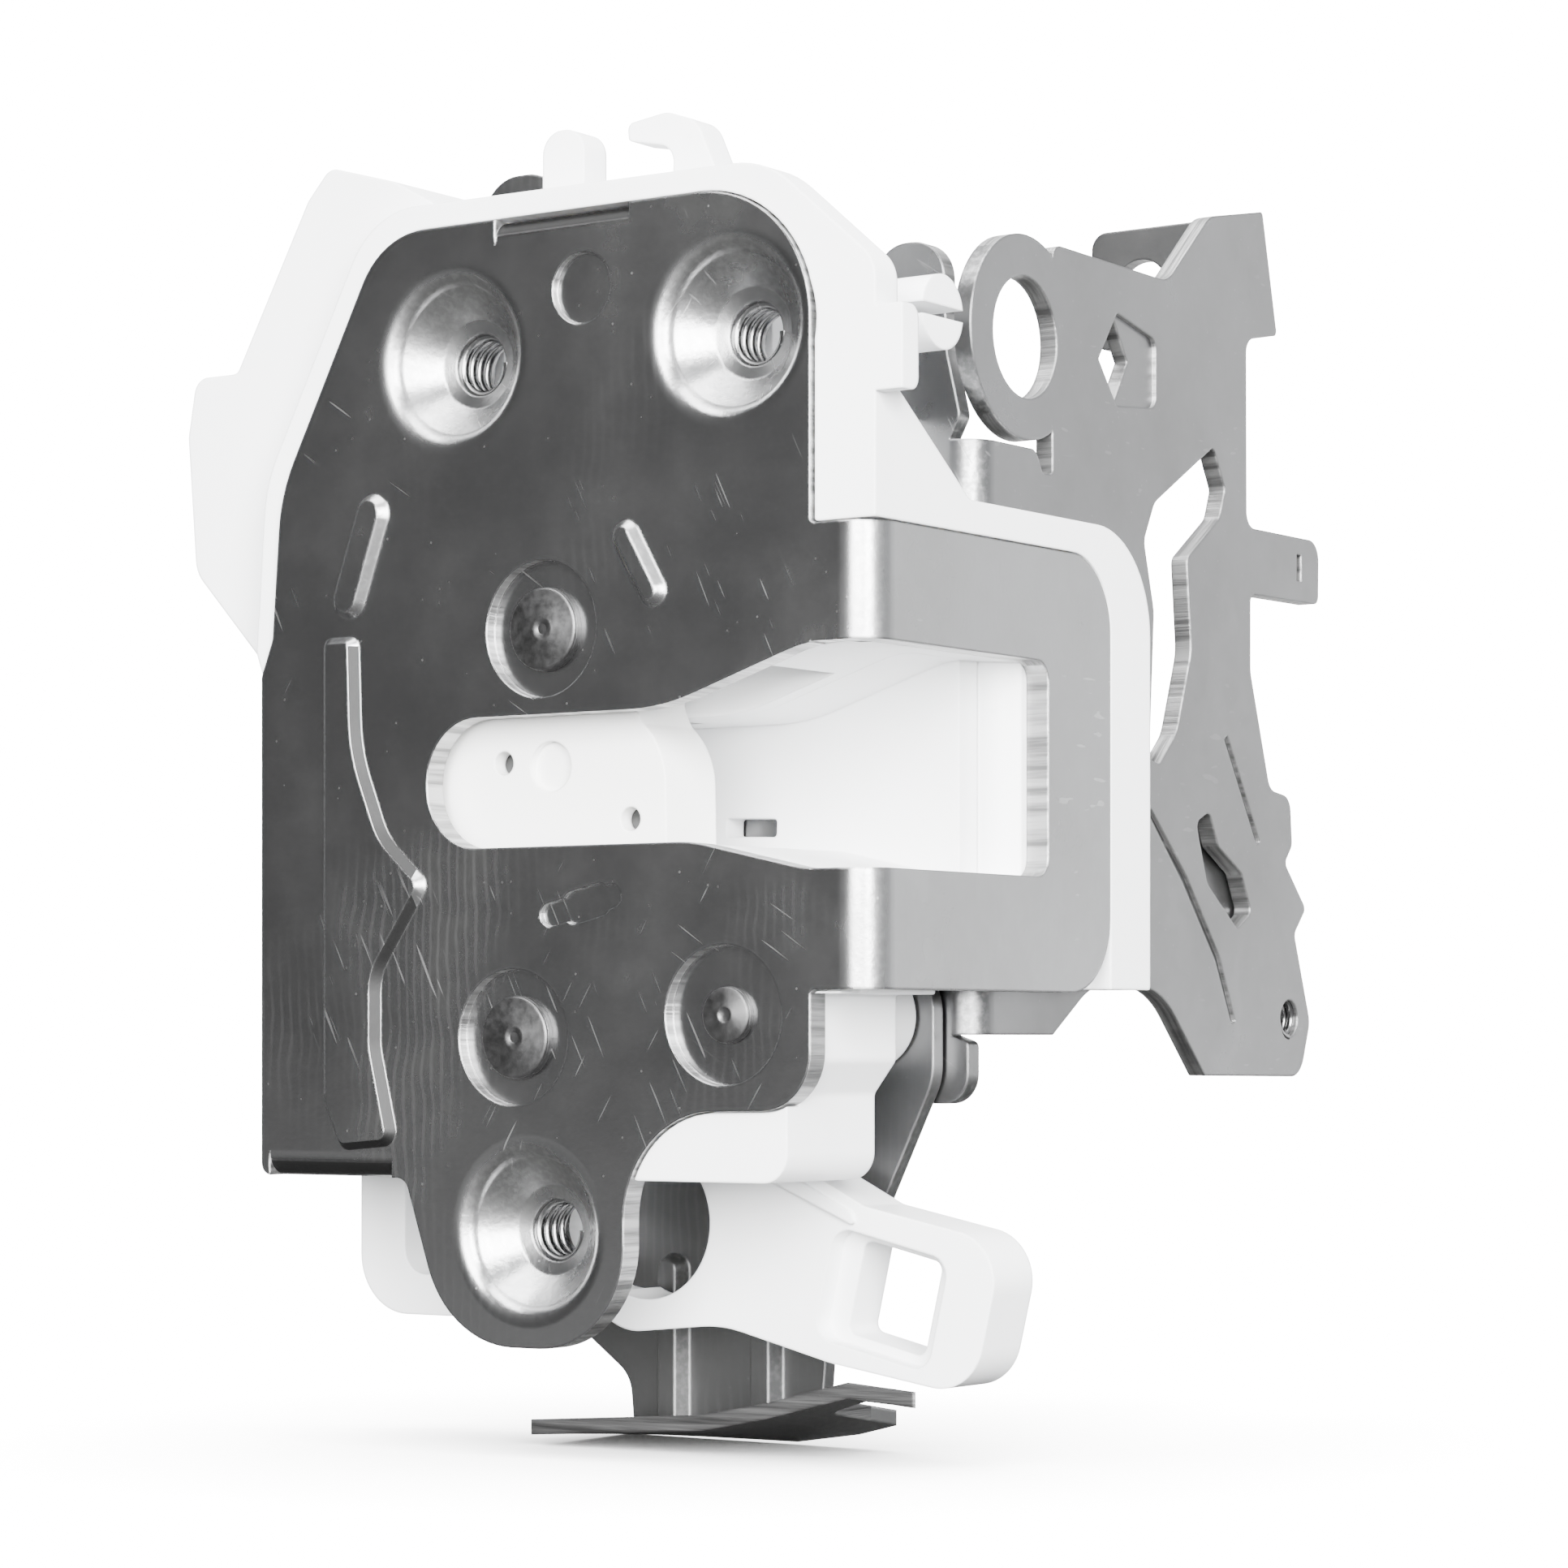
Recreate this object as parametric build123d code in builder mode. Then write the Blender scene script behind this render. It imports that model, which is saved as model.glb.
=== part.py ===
from build123d import *
import os
from math import acos, cos, hypot, radians, sin, tan

os.makedirs("parts", exist_ok=True)

# A side door latch of a vehicle, as it hangs in the door: a steel face plate with a slot for the
# door striker, a moulded housing that holds the claw and the pawl, and a bent steel bracket behind.
# Millimetres. X runs along the face plate towards the side the striker comes in from, Y runs into
# the door, Z is up. The origin is the axis of the latched striker, at the outer face of the plate.

# Face plate
plate_sheet = 2.0
plate_right = 29.4
plate_top = 44.5
plate_left = -25.3
plate_bottom = -31.5
ear_bottom = -44.7
flange_face = 35.0
bend_radius = 3.0
flange_depth = 35.0
flange_top = 18.5
flange_bottom = -16.6
flange_corner = 6.0
emboss_height = 0.7
emboss_slope = 40.0

# Striker slot
slot_half = 5.2
slot_end = -7.7
mouth_top = 9.6
mouth_bottom = -7.5
slot_reach = 25.3
channel_floor = 20.0
nose_radius = 5.0
striker_radius = 4.5

# Screw cups, M6
screw_places = [(-5.2, 33.9), (21.8, 33.9), (2.5, -35.5)]
cup_radius = 6.35
cup_lip = 1.25
cup_cone_depth = 3.4
neck_bore = 2.5
neck_radius = 4.0
neck_end = 8.6
screw_clearance = 3.6

# Pivots: the claw above the slot, the pawl below it, and the spacer rivet of the opening lever
claw_pivot = (3.8, 11.9)
pawl_pivot = (1.0, -20.2)
lever_pivot = (21.35, -18.5)
ring_radius = 5.4
ring_depth = 0.9
rivet_neck = 2.6
rivet_head = 3.3
rivet_proud = 0.75
spacer_neck = 1.6
spacer_head = 2.2
fit = 0.05

# Claw and pawl, both in one layer between the plate and the housing floor
moving_front = 3.2
moving_back = 9.9
pocket_floor = 10.6
core_front = 4.6
core_back = 8.6
claw_turn = 85.0
claw_radius = 20.2
tooth_radius = 22.6
seat_radius = 4.8
claw_hub = 9.5
pin_shoulder = 4.0
pin_shank = 3.0
pawl_swing_gap = 0.6
pawl_hub = 5.6
tail_pin_radius = 1.8
tail_reach = 10.2
cover_peg = (-10.6, -13.2)
cover_peg_radius = 1.3

# Housing
rim_front = 0.4
rim_back = 3.4
body_back = 12.4
core_end = 22.4
housing_side = 35.0
rim_reach = 41.5
rim_top = 21.2
plate_gap = 0.15
sleeve_radius = 4.6
spacer_sleeve = 4.2
sleeve_end = 20.6

# Claw spring and the motor that works the lock lever
spring_floor = 15.8
coil_radius = 6.0
coil_wire = 0.6
coil_pitch = 1.35
motor_axis = (-17.0, 17.4)
motor_radius = 4.4
motor_bottom = 6.0
motor_length = 17.0
shaft_length = 7.0
shaft_radius = 0.75
pawl_stop_place = (-15.3, -17.2)
cover_screw_places = [(-27.2, 17.6), (-33.0, 32.2), (-26.8, 36.4)]
cover_screw_radius = 1.0
lid_sheet = 1.6

# Bracket
bracket_sheet = 1.6
bracket_front = 22.6
side_face = 30.0
bracket_bend = 2.6
ring_hole = 4.95
ring_outer = 8.3
ring_centre = (30.0, 36.4)
rear_flange_depth = 69.4
rear_flange_reach = 13.0
tapped_hole = 1.65
tapped_place = (75.2, -18.5)

# Levers
lever_sheet = 1.4
lever_front = 20.9
lock_front = 13.0
lock_back = 18.7
lock_eye = (27.5, -40.6, 0)
foot_front = 9.0
foot_tongue_back = 12.4
foot_sheet = 1.25
inside_gap = 0.25
inside_sheet = 1.5
inside_pivot = (36.0, -8.0)
inside_shaft = 2.5


def at_depth(y):
    """Plane parallel to the face plate, y behind its outer face; it extrudes towards the viewer."""
    return Plane(origin=(0, y, 0), x_dir=(1, 0, 0), z_dir=(0, -1, 0))


def at_side(x):
    """Plane of the side plate, drawn with Y to the right and Z up; it extrudes towards +X."""
    return Plane(origin=(x, 0, 0), x_dir=(0, 1, 0), z_dir=(1, 0, 0))


def across(centre):
    """Plane through a pivot, drawn with the radius to the right and the depth up."""
    return Plane(origin=(centre[0], 0, centre[1]), x_dir=(1, 0, 0), z_dir=(0, 0, 1))


def depth_axis(centre):
    return Axis((centre[0], 0, centre[1]), (0, 1, 0))


def around(centre, radius, angle):
    """Point at a radius and an angle, in degrees, round a centre."""
    return (centre[0] + radius * cos(radians(angle)), centre[1] + radius * sin(radians(angle)))


def turned(point, centre, angle):
    """A point turned anticlockwise round a centre."""
    dx, dz = point[0] - centre[0], point[1] - centre[1]
    c, s = cos(radians(angle)), sin(radians(angle))
    return (centre[0] + dx * c - dz * s, centre[1] + dx * s + dz * c)


def corner_radius(before, corner, after, wanted):
    """The wanted radius, or the largest that still fits between the two neighbours."""
    first = (before[0] - corner[0], before[1] - corner[1])
    second = (after[0] - corner[0], after[1] - corner[1])
    lengths = hypot(*first), hypot(*second)
    cosine = (first[0] * second[0] + first[1] * second[1]) / (lengths[0] * lengths[1])
    half_angle = acos(max(-1.0, min(1.0, cosine))) / 2
    return max(0.03, min(wanted, 0.48 * min(lengths) * tan(half_angle)))


def outline(corners):
    """Closed outline from corners (x, y, radius of the corner)."""
    radii = []
    for place, corner in enumerate(corners):
        after = corners[(place + 1) % len(corners)]
        radii.append(corner_radius(corners[place - 1], corner, after, corner[2]))
    with BuildLine() as line:
        FilletPolyline(*[(x, y) for x, y, r in corners], radius=radii, close=True)
    return line.line


def finish(part, name):
    part.part.label = name
    export_step(part.part, f"parts/{name}.step")


# Outlines that two pieces share
plate_corners = [
    (plate_right, flange_top, 0.4), (plate_right, plate_top, 10.5), (-12.5, plate_top, 7.0),
    (-23.2, 24.4, 14.0), (-24.1, 12.5, 1.5), (plate_left, 9.5, 1.0), (plate_left, plate_bottom, 1.0),
    (-10.0, plate_bottom, 1.2), (-5.6, ear_bottom, 9.0), (11.9, ear_bottom, 8.4), (11.9, -26.0, 10.0),
    (plate_right, -25.7, 6.5), (plate_right, flange_bottom, 0.4),
    (flange_face - bend_radius, flange_bottom, 0.0), (flange_face - bend_radius, flange_top, 0.0)]

slot_corners = [
    (slot_end, -slot_half, slot_half - 0.05), (18.5, -slot_half, 12.0), (29.0, mouth_bottom, 12.0),
    (flange_face + 2, mouth_bottom, 0.0), (flange_face + 2, mouth_top, 0.0), (29.0, mouth_top, 12.0),
    (15.5, slot_half, 20.0), (slot_end, slot_half, slot_half - 0.05)]

# Drawn screw cup: a cone that ends in a tapped neck
with BuildPart() as screw_cup:
    with BuildSketch(across((0, 0))):
        with BuildLine():
            lip = cup_radius + cup_lip
            front = Polyline((cup_radius - 0.45, cup_lip - 0.15), (neck_bore + 1.1, cup_cone_depth),
                             (neck_bore, cup_cone_depth + 0.4), (neck_bore, neck_end),
                             (neck_radius, neck_end), (neck_radius, cup_cone_depth + 1.4),
                             (lip, plate_sheet), (lip, 0))
            ThreePointArc((lip, 0), (cup_radius + 0.25, 0.28), (cup_radius - 0.45, cup_lip - 0.15))
        make_face()
    revolve(axis=Axis.Y)

# Face plate: bent steel sheet with the slot cut through the bend
with BuildPart() as face_plate:
    with BuildSketch(at_depth(plate_sheet)):
        make_face(outline(plate_corners))
    extrude(amount=plate_sheet)
    with BuildSketch(Plane.XY.offset(flange_bottom)):
        with BuildLine():
            start = flange_face - bend_radius
            inner = flange_face - plate_sheet
            RadiusArc((start, 0), (flange_face, bend_radius), -bend_radius)
            Polyline((flange_face, bend_radius), (flange_face, flange_depth), (inner, flange_depth),
                     (inner, bend_radius))
            RadiusArc((inner, bend_radius), (start, plate_sheet), bend_radius - plate_sheet)
            Line((start, plate_sheet), (start, 0))
        make_face()
    extrude(amount=flange_top - flange_bottom)
    fillet(face_plate.edges().filter_by(Axis.X).group_by(Axis.Y)[-1], flange_corner)
    # Tab folded back over the top edge and lip along the bottom edge
    with BuildSketch(at_depth(plate_sheet)):
        with Locations((5.8, plate_top - plate_sheet / 2)):
            Rectangle(13.2, plate_sheet)
        with Locations((-17.9, plate_bottom + plate_sheet / 2)):
            Rectangle(13.0, plate_sheet)
    extrude(amount=plate_sheet, mode=Mode.SUBTRACT)
    fold = plate_sheet * cos(radians(45))
    for left, width, edge, inward, reach in ((-0.8, 13.2, plate_top, -1, 6.0),
                                             (-24.4, 13.0, plate_bottom, 1, 4.5)):
        root_edge = edge + inward * plate_sheet
        with BuildSketch(Plane.YZ.offset(left)):
            with BuildLine():
                ThreePointArc((0, root_edge), (plate_sheet - fold, root_edge - inward * fold),
                              (plate_sheet, edge))
                Polyline((plate_sheet, edge), (reach, edge), (reach, root_edge), (0, root_edge))
            make_face()
        extrude(amount=width)
    with BuildSketch(at_depth(plate_sheet + 2)):
        make_face(outline(slot_corners))
    extrude(amount=plate_sheet + 4, mode=Mode.SUBTRACT)
    with BuildSketch(at_side(plate_right)):
        make_face(outline([(-1, mouth_bottom, 0.0), (slot_reach, mouth_bottom, 1.6),
                           (slot_reach, mouth_top, 1.6), (-1, mouth_top, 0.0)]))
    extrude(amount=flange_face - plate_right + 1, mode=Mode.SUBTRACT)
    # Screw cups
    with BuildSketch(at_depth(plate_sheet + 1)):
        with Locations(*screw_places):
            Circle(cup_radius + cup_lip)
    extrude(amount=plate_sheet + 2, mode=Mode.SUBTRACT)
    with Locations(*[(x, 0, z) for x, z in screw_places]):
        add(screw_cup.part)
    # Sunk rings round the rivets and the blind locating dimple
    for place, radius, bore, sunk in ((claw_pivot, ring_radius, rivet_neck + fit / 2, ring_depth),
                                      (pawl_pivot, ring_radius, rivet_neck + fit / 2, ring_depth),
                                      (lever_pivot, ring_radius, spacer_neck + fit / 2, ring_depth),
                                      ((7.8, 38.3), 2.8, 0.0, 0.5)):
        with BuildSketch(at_depth(sunk)):
            with Locations(place):
                Circle(radius)
        extrude(amount=sunk + 1, mode=Mode.SUBTRACT)
        with BuildSketch(at_depth(plate_sheet + sunk)):
            with Locations(place):
                Circle(radius + 0.7)
        extrude(amount=sunk)
        if bore > 0:
            with BuildSketch(at_depth(plate_sheet + ring_depth)):
                with Locations(place):
                    Circle(bore)
            extrude(amount=plate_sheet + ring_depth, mode=Mode.SUBTRACT)
    # Raised beads and the long raised pad over the pawl
    pad_corners = [
        (-18.5, 12.3, 0.9), (-14.9, 12.3, 0.9), (-14.6, 3.0, 14.0), (-11.8, -4.0, 6.0), (-7.5, -7.9, 1.2),
        (-12.6, -15.2, 4.0), (-12.6, -21.0, 4.0), (-10.7, -28.9, 1.3), (-16.6, -29.4, 1.2),
        (-18.5, -25.5, 3.0)]
    with BuildSketch(at_depth(0)):
        make_face(outline(pad_corners))
        with Locations(Location((-14.6, 18.7, 0), 70)):
            SlotOverall(10.4, 3.3)
        with Locations(Location((13.4, 16.4, 0), -60)):
            SlotOverall(7.6, 2.5)
    extrude(amount=emboss_height, taper=emboss_slope)
    with BuildSketch(at_depth(plate_sheet)):
        make_face(outline(pad_corners))
        with Locations(Location((-14.6, 18.7, 0), 70)):
            SlotOverall(10.4, 3.3)
        with Locations(Location((13.4, 16.4, 0), -60)):
            SlotOverall(7.6, 2.5)
    extrude(amount=emboss_height, taper=emboss_slope, mode=Mode.SUBTRACT)
    with BuildSketch(at_depth(0.4)):
        with Locations(Location((7.7, -9.9, 0), 13)):
            SlotOverall(8.0, 1.9)
            with Locations((0.6, 0)):
                SlotOverall(5.0, 2.6)
    extrude(amount=1, mode=Mode.SUBTRACT)
finish(face_plate, "face_plate")

# Claw outline, drawn open: a finger across the slot, a seat for the striker and a hook above it
seat_open = turned((0.0, 0.0), claw_pivot, claw_turn)
tooth_root = around(claw_pivot, claw_radius - 0.27, -60.22)
tooth_tip = around(claw_pivot, tooth_radius + 0.21, -60.74)
finger_low = around(claw_pivot, claw_radius - 4.4, -51.7)
finger_side = around(claw_pivot, claw_radius - 6.83, -46.5)
finger_corner = around(seat_open, seat_radius, 215)
seat_top = around(seat_open, seat_radius, 100)
hook_inner = around(claw_pivot, claw_radius, 4)
hook_outer = around(claw_pivot, claw_radius, 27)


def claw_outline(inset=0.0):
    with BuildLine() as line:
        Line(tooth_root, finger_low)
        ThreePointArc(finger_low, finger_side, finger_corner)
        ThreePointArc(finger_corner, around(seat_open, seat_radius, 160), seat_top)
        Line(seat_top, hook_inner)
        ThreePointArc(hook_inner, around(claw_pivot, claw_radius, 15), hook_outer)
        ThreePointArc(hook_outer, around(claw_pivot, (claw_radius + claw_hub) / 2 - 0.91, 36.5),
                      around(claw_pivot, claw_hub, 62))
        ThreePointArc(around(claw_pivot, claw_hub, 62), around(claw_pivot, claw_hub, 120),
                      around(claw_pivot, claw_hub, 178))
        heel = around(claw_pivot, claw_radius - 1.39, -134.6)
        Polyline(around(claw_pivot, claw_hub, 178), around(claw_pivot, claw_radius - 5.74, -155.9), heel)
        ThreePointArc(heel, around(claw_pivot, claw_radius - 0.19, -128.3),
                      around(claw_pivot, claw_radius, -122))
        ThreePointArc(around(claw_pivot, claw_radius, -122), around(claw_pivot, claw_radius, -95),
                      around(claw_pivot, claw_radius, -72))
        Polyline(around(claw_pivot, claw_radius, -72), around(claw_pivot, tooth_radius, -66), tooth_tip,
                 tooth_root)
    return line.line


# Claw core: the steel plate inside the moulding, with the tooth that the pawl holds
with BuildPart() as claw_core:
    with BuildSketch(at_depth(core_back)):
        make_face(claw_outline())
        offset(amount=-1.3, kind=Kind.INTERSECTION)
        with BuildLine():
            Polyline(around(claw_pivot, claw_radius - 1.94, -73.5), around(claw_pivot, claw_radius - 0.6, -72),
                     around(claw_pivot, tooth_radius, -66), tooth_tip, tooth_root,
                     around(claw_pivot, claw_radius - 2.31, -62.7),
                     around(claw_pivot, claw_radius - 3.09, -72.3), close=True)
        make_face()
        with Locations(claw_pivot):
            Circle(pin_shoulder + fit, mode=Mode.SUBTRACT)
    extrude(amount=core_back - core_front)
finish(claw_core, "claw_core")

# Claw jacket: the plastic moulded round the core, with two locating holes and a gate dimple
with BuildPart() as claw_jacket:
    with BuildSketch(at_depth(moving_back)):
        make_face(claw_outline())
        with Locations(claw_pivot):
            Circle(pin_shoulder + fit + 0.6, mode=Mode.SUBTRACT)
    extrude(amount=moving_back - moving_front)
    with BuildSketch(at_depth(core_front)):
        with Locations((-2.4, 1.7), (10.2, -3.1)):
            Circle(0.95)
    extrude(amount=2, mode=Mode.SUBTRACT)
    with BuildSketch(at_depth(moving_front + 0.6)):
        with Locations((2.3, 1.3)):
            Circle(2.0)
    extrude(amount=1, mode=Mode.SUBTRACT)
    add(claw_core.part, mode=Mode.SUBTRACT)
    with BuildSketch(at_depth(core_back)):
        with Locations(claw_pivot):
            Circle(pin_shoulder + fit + 0.6)
    extrude(amount=core_back - core_front, mode=Mode.SUBTRACT)
finish(claw_jacket, "claw_jacket")

# Pawl outline, drawn riding on the rim of the claw: the hollow side follows the sweep of the tooth
sweep_radius = tooth_radius + pawl_swing_gap
pawl_tip_inner = around(claw_pivot, sweep_radius, -144.2)
pawl_tip_outer = (pawl_tip_inner[0] - 3.2, pawl_tip_inner[1] - 2.2)
tail_centre = (pawl_pivot[0] + tail_reach, pawl_pivot[1] + 0.7)


def pawl_outline():
    with BuildLine() as line:
        ThreePointArc(pawl_tip_inner, around(claw_pivot, sweep_radius, -125),
                      around(claw_pivot, sweep_radius, -106))
        Polyline(around(claw_pivot, sweep_radius, -106), around(pawl_pivot, pawl_hub, 68),
                 (tail_centre[0], tail_centre[1] + 3.2))
        ThreePointArc((tail_centre[0], tail_centre[1] + 3.2), (tail_centre[0] + 3.2, tail_centre[1]),
                      (tail_centre[0], tail_centre[1] - 3.2))
        Line((tail_centre[0], tail_centre[1] - 3.2), around(pawl_pivot, pawl_hub, -50))
        ThreePointArc(around(pawl_pivot, pawl_hub, -50), around(pawl_pivot, pawl_hub, -100),
                      around(pawl_pivot, pawl_hub, -160))
        Polyline(around(pawl_pivot, pawl_hub, -160), (-13.2, -13.0), (-18.3, -6.4), pawl_tip_outer,
                 pawl_tip_inner)
    return line.line


# Pawl core: steel, with the bore and the tail pin
with BuildPart() as pawl_core:
    with BuildSketch(at_depth(core_back)):
        make_face(pawl_outline())
        with Locations(pawl_pivot):
            Circle(pin_shoulder + fit, mode=Mode.SUBTRACT)
        with Locations(tail_centre):
            Circle(tail_pin_radius, mode=Mode.SUBTRACT)
        with Locations(cover_peg):
            Circle(cover_peg_radius, mode=Mode.SUBTRACT)
    extrude(amount=core_back - core_front)
finish(pawl_core, "pawl_core")

# Pawl cover: a thin plastic sleeve over the front and back of the core that keeps it quiet
with BuildPart() as pawl_cover:
    for back, thickness in ((core_front, core_front - moving_front), (moving_back, moving_back - core_back)):
        with BuildSketch(at_depth(back)):
            make_face(pawl_outline())
            with Locations(pawl_pivot):
                Circle(pin_shoulder + fit + 0.6, mode=Mode.SUBTRACT)
            with Locations(tail_centre):
                Circle(tail_pin_radius, mode=Mode.SUBTRACT)
        extrude(amount=thickness)
    with BuildSketch(at_depth(core_back)):
        with Locations(cover_peg):
            Circle(cover_peg_radius)
    extrude(amount=core_back - core_front)
finish(pawl_cover, "pawl_cover")

# Tail pin: pressed in the pawl, it reaches back to the fork of the opening lever
with BuildPart() as pawl_tail_pin:
    with BuildSketch(at_depth(lever_front + lever_sheet)):
        with Locations(tail_centre):
            Circle(tail_pin_radius)
    extrude(amount=lever_front + lever_sheet - moving_front)
    chamfer(pawl_tail_pin.edges().group_by(Axis.Y)[-1], 0.4)
finish(pawl_tail_pin, "pawl_tail_pin")


def stepped_pin(name, centre, steps):
    """Turned pin along Y from steps of (radius, start, end)."""
    with BuildPart() as pin:
        with BuildSketch(across(centre)):
            for radius, start, end in steps:
                with Locations((radius / 2, (start + end) / 2)):
                    Rectangle(radius, end - start)
        revolve(axis=depth_axis(centre))
        front_edge = pin.edges().group_by(Axis.Y)[0]
        chamfer(front_edge, 0.25)
    finish(pin, name)


bracket_back = bracket_front + bracket_sheet
tail_head = 1.0
plate_back = plate_sheet + ring_depth
for name, centre in (("claw_pin", claw_pivot), ("pawl_pin", pawl_pivot)):
    stepped_pin(name, centre, [
        (rivet_head, ring_depth - rivet_proud, ring_depth), (rivet_neck, ring_depth, plate_back),
        (pin_shoulder, plate_back, pocket_floor), (pin_shank, pocket_floor, bracket_front),
        (rivet_neck, bracket_front, bracket_back), (rivet_head, bracket_back, bracket_back + tail_head)])
stepped_pin("spacer_rivet", lever_pivot, [
    (spacer_head, ring_depth - 0.6, ring_depth), (spacer_neck, ring_depth, plate_back),
    (2.0, plate_back, sleeve_end), (pin_shank, sleeve_end, bracket_front),
    (rivet_neck, bracket_front, bracket_back), (rivet_head, bracket_back, bracket_back + tail_head)])

# Housing: the white moulding in three steps of depth, with the rim round the flange and the channel
lower_corners = [(-9.0, -28.0, 1.0), (-6.8, -26.6, 1.0), (11.6, -26.6, 1.5), (12.2, -31.3, 1.0),
                 (27.0, -31.3, 2.2), (27.0, -24.6, 0.8), (29.0, -22.0, 1.0), (29.0, flange_bottom - 0.3, 0.3),
                 (32.6, flange_bottom - 0.3, 0.2)]
rim_corners = [
    (housing_side, flange_top + 0.2, 0.0), (housing_side, 37.8, 3.0), (25.0, 46.4, 8.0),
    (-13.8, 46.6, 7.5), (-25.2, 25.4, 12.0), (-26.2, 11.5, 2.0), (-24.9, 8.0, 1.0), (-24.9, -28.0, 1.0)]
body_corners = [
    (32.6, rim_top, 1.0), (28.8, 24.0, 1.5), (28.8, 40.0, 4.0), (20.0, 45.9, 4.0), (-8.0, 46.4, 2.0),
    (-14.0, 49.6, 2.0), (-20.8, 51.5, 1.5), (-23.2, 49.0, 1.5), (-31.0, 35.4, 0.8), (-35.6, 35.4, 1.5),
    (-36.5, 30.5, 1.5), (-35.6, 19.0, 3.0), (-26.2, 9.0, 3.0), (-26.2, -28.0, 1.0)]
core_corners = [
    (24.0, 22.0, 1.5), (24.0, 38.0, 4.0), (-12.0, 42.0, 5.0), (-24.0, 33.0, 4.0), (-24.0, -9.5, 3.0),
    (22.0, -9.5, 2.0), (27.0, -14.0, 1.5), (32.6, -14.0, 0.2), (32.6, 18.0, 0.2), (27.5, 19.5, 1.5)]

# Striker channel: the slot outline carried back to a floor that ends in a rounded nose
with BuildPart() as channel:
    with BuildSketch(Plane.XY.offset(mouth_bottom - 1)):
        with BuildLine():
            Polyline((slot_end - 2, -1), (slot_end - 2, channel_floor),
                     (flange_face - nose_radius, channel_floor))
            RadiusArc((flange_face - nose_radius, channel_floor),
                      (flange_face, channel_floor + nose_radius), nose_radius)
            Polyline((flange_face, channel_floor + nose_radius), (flange_face + 1, slot_reach),
                     (flange_face + 1, -1), (slot_end - 2, -1))
        make_face()
    extrude(amount=mouth_top - mouth_bottom + 2)
    with BuildSketch(at_depth(slot_reach + 1)):
        make_face(outline(slot_corners))
    extrude(amount=slot_reach + 3, mode=Mode.INTERSECT)

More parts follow.
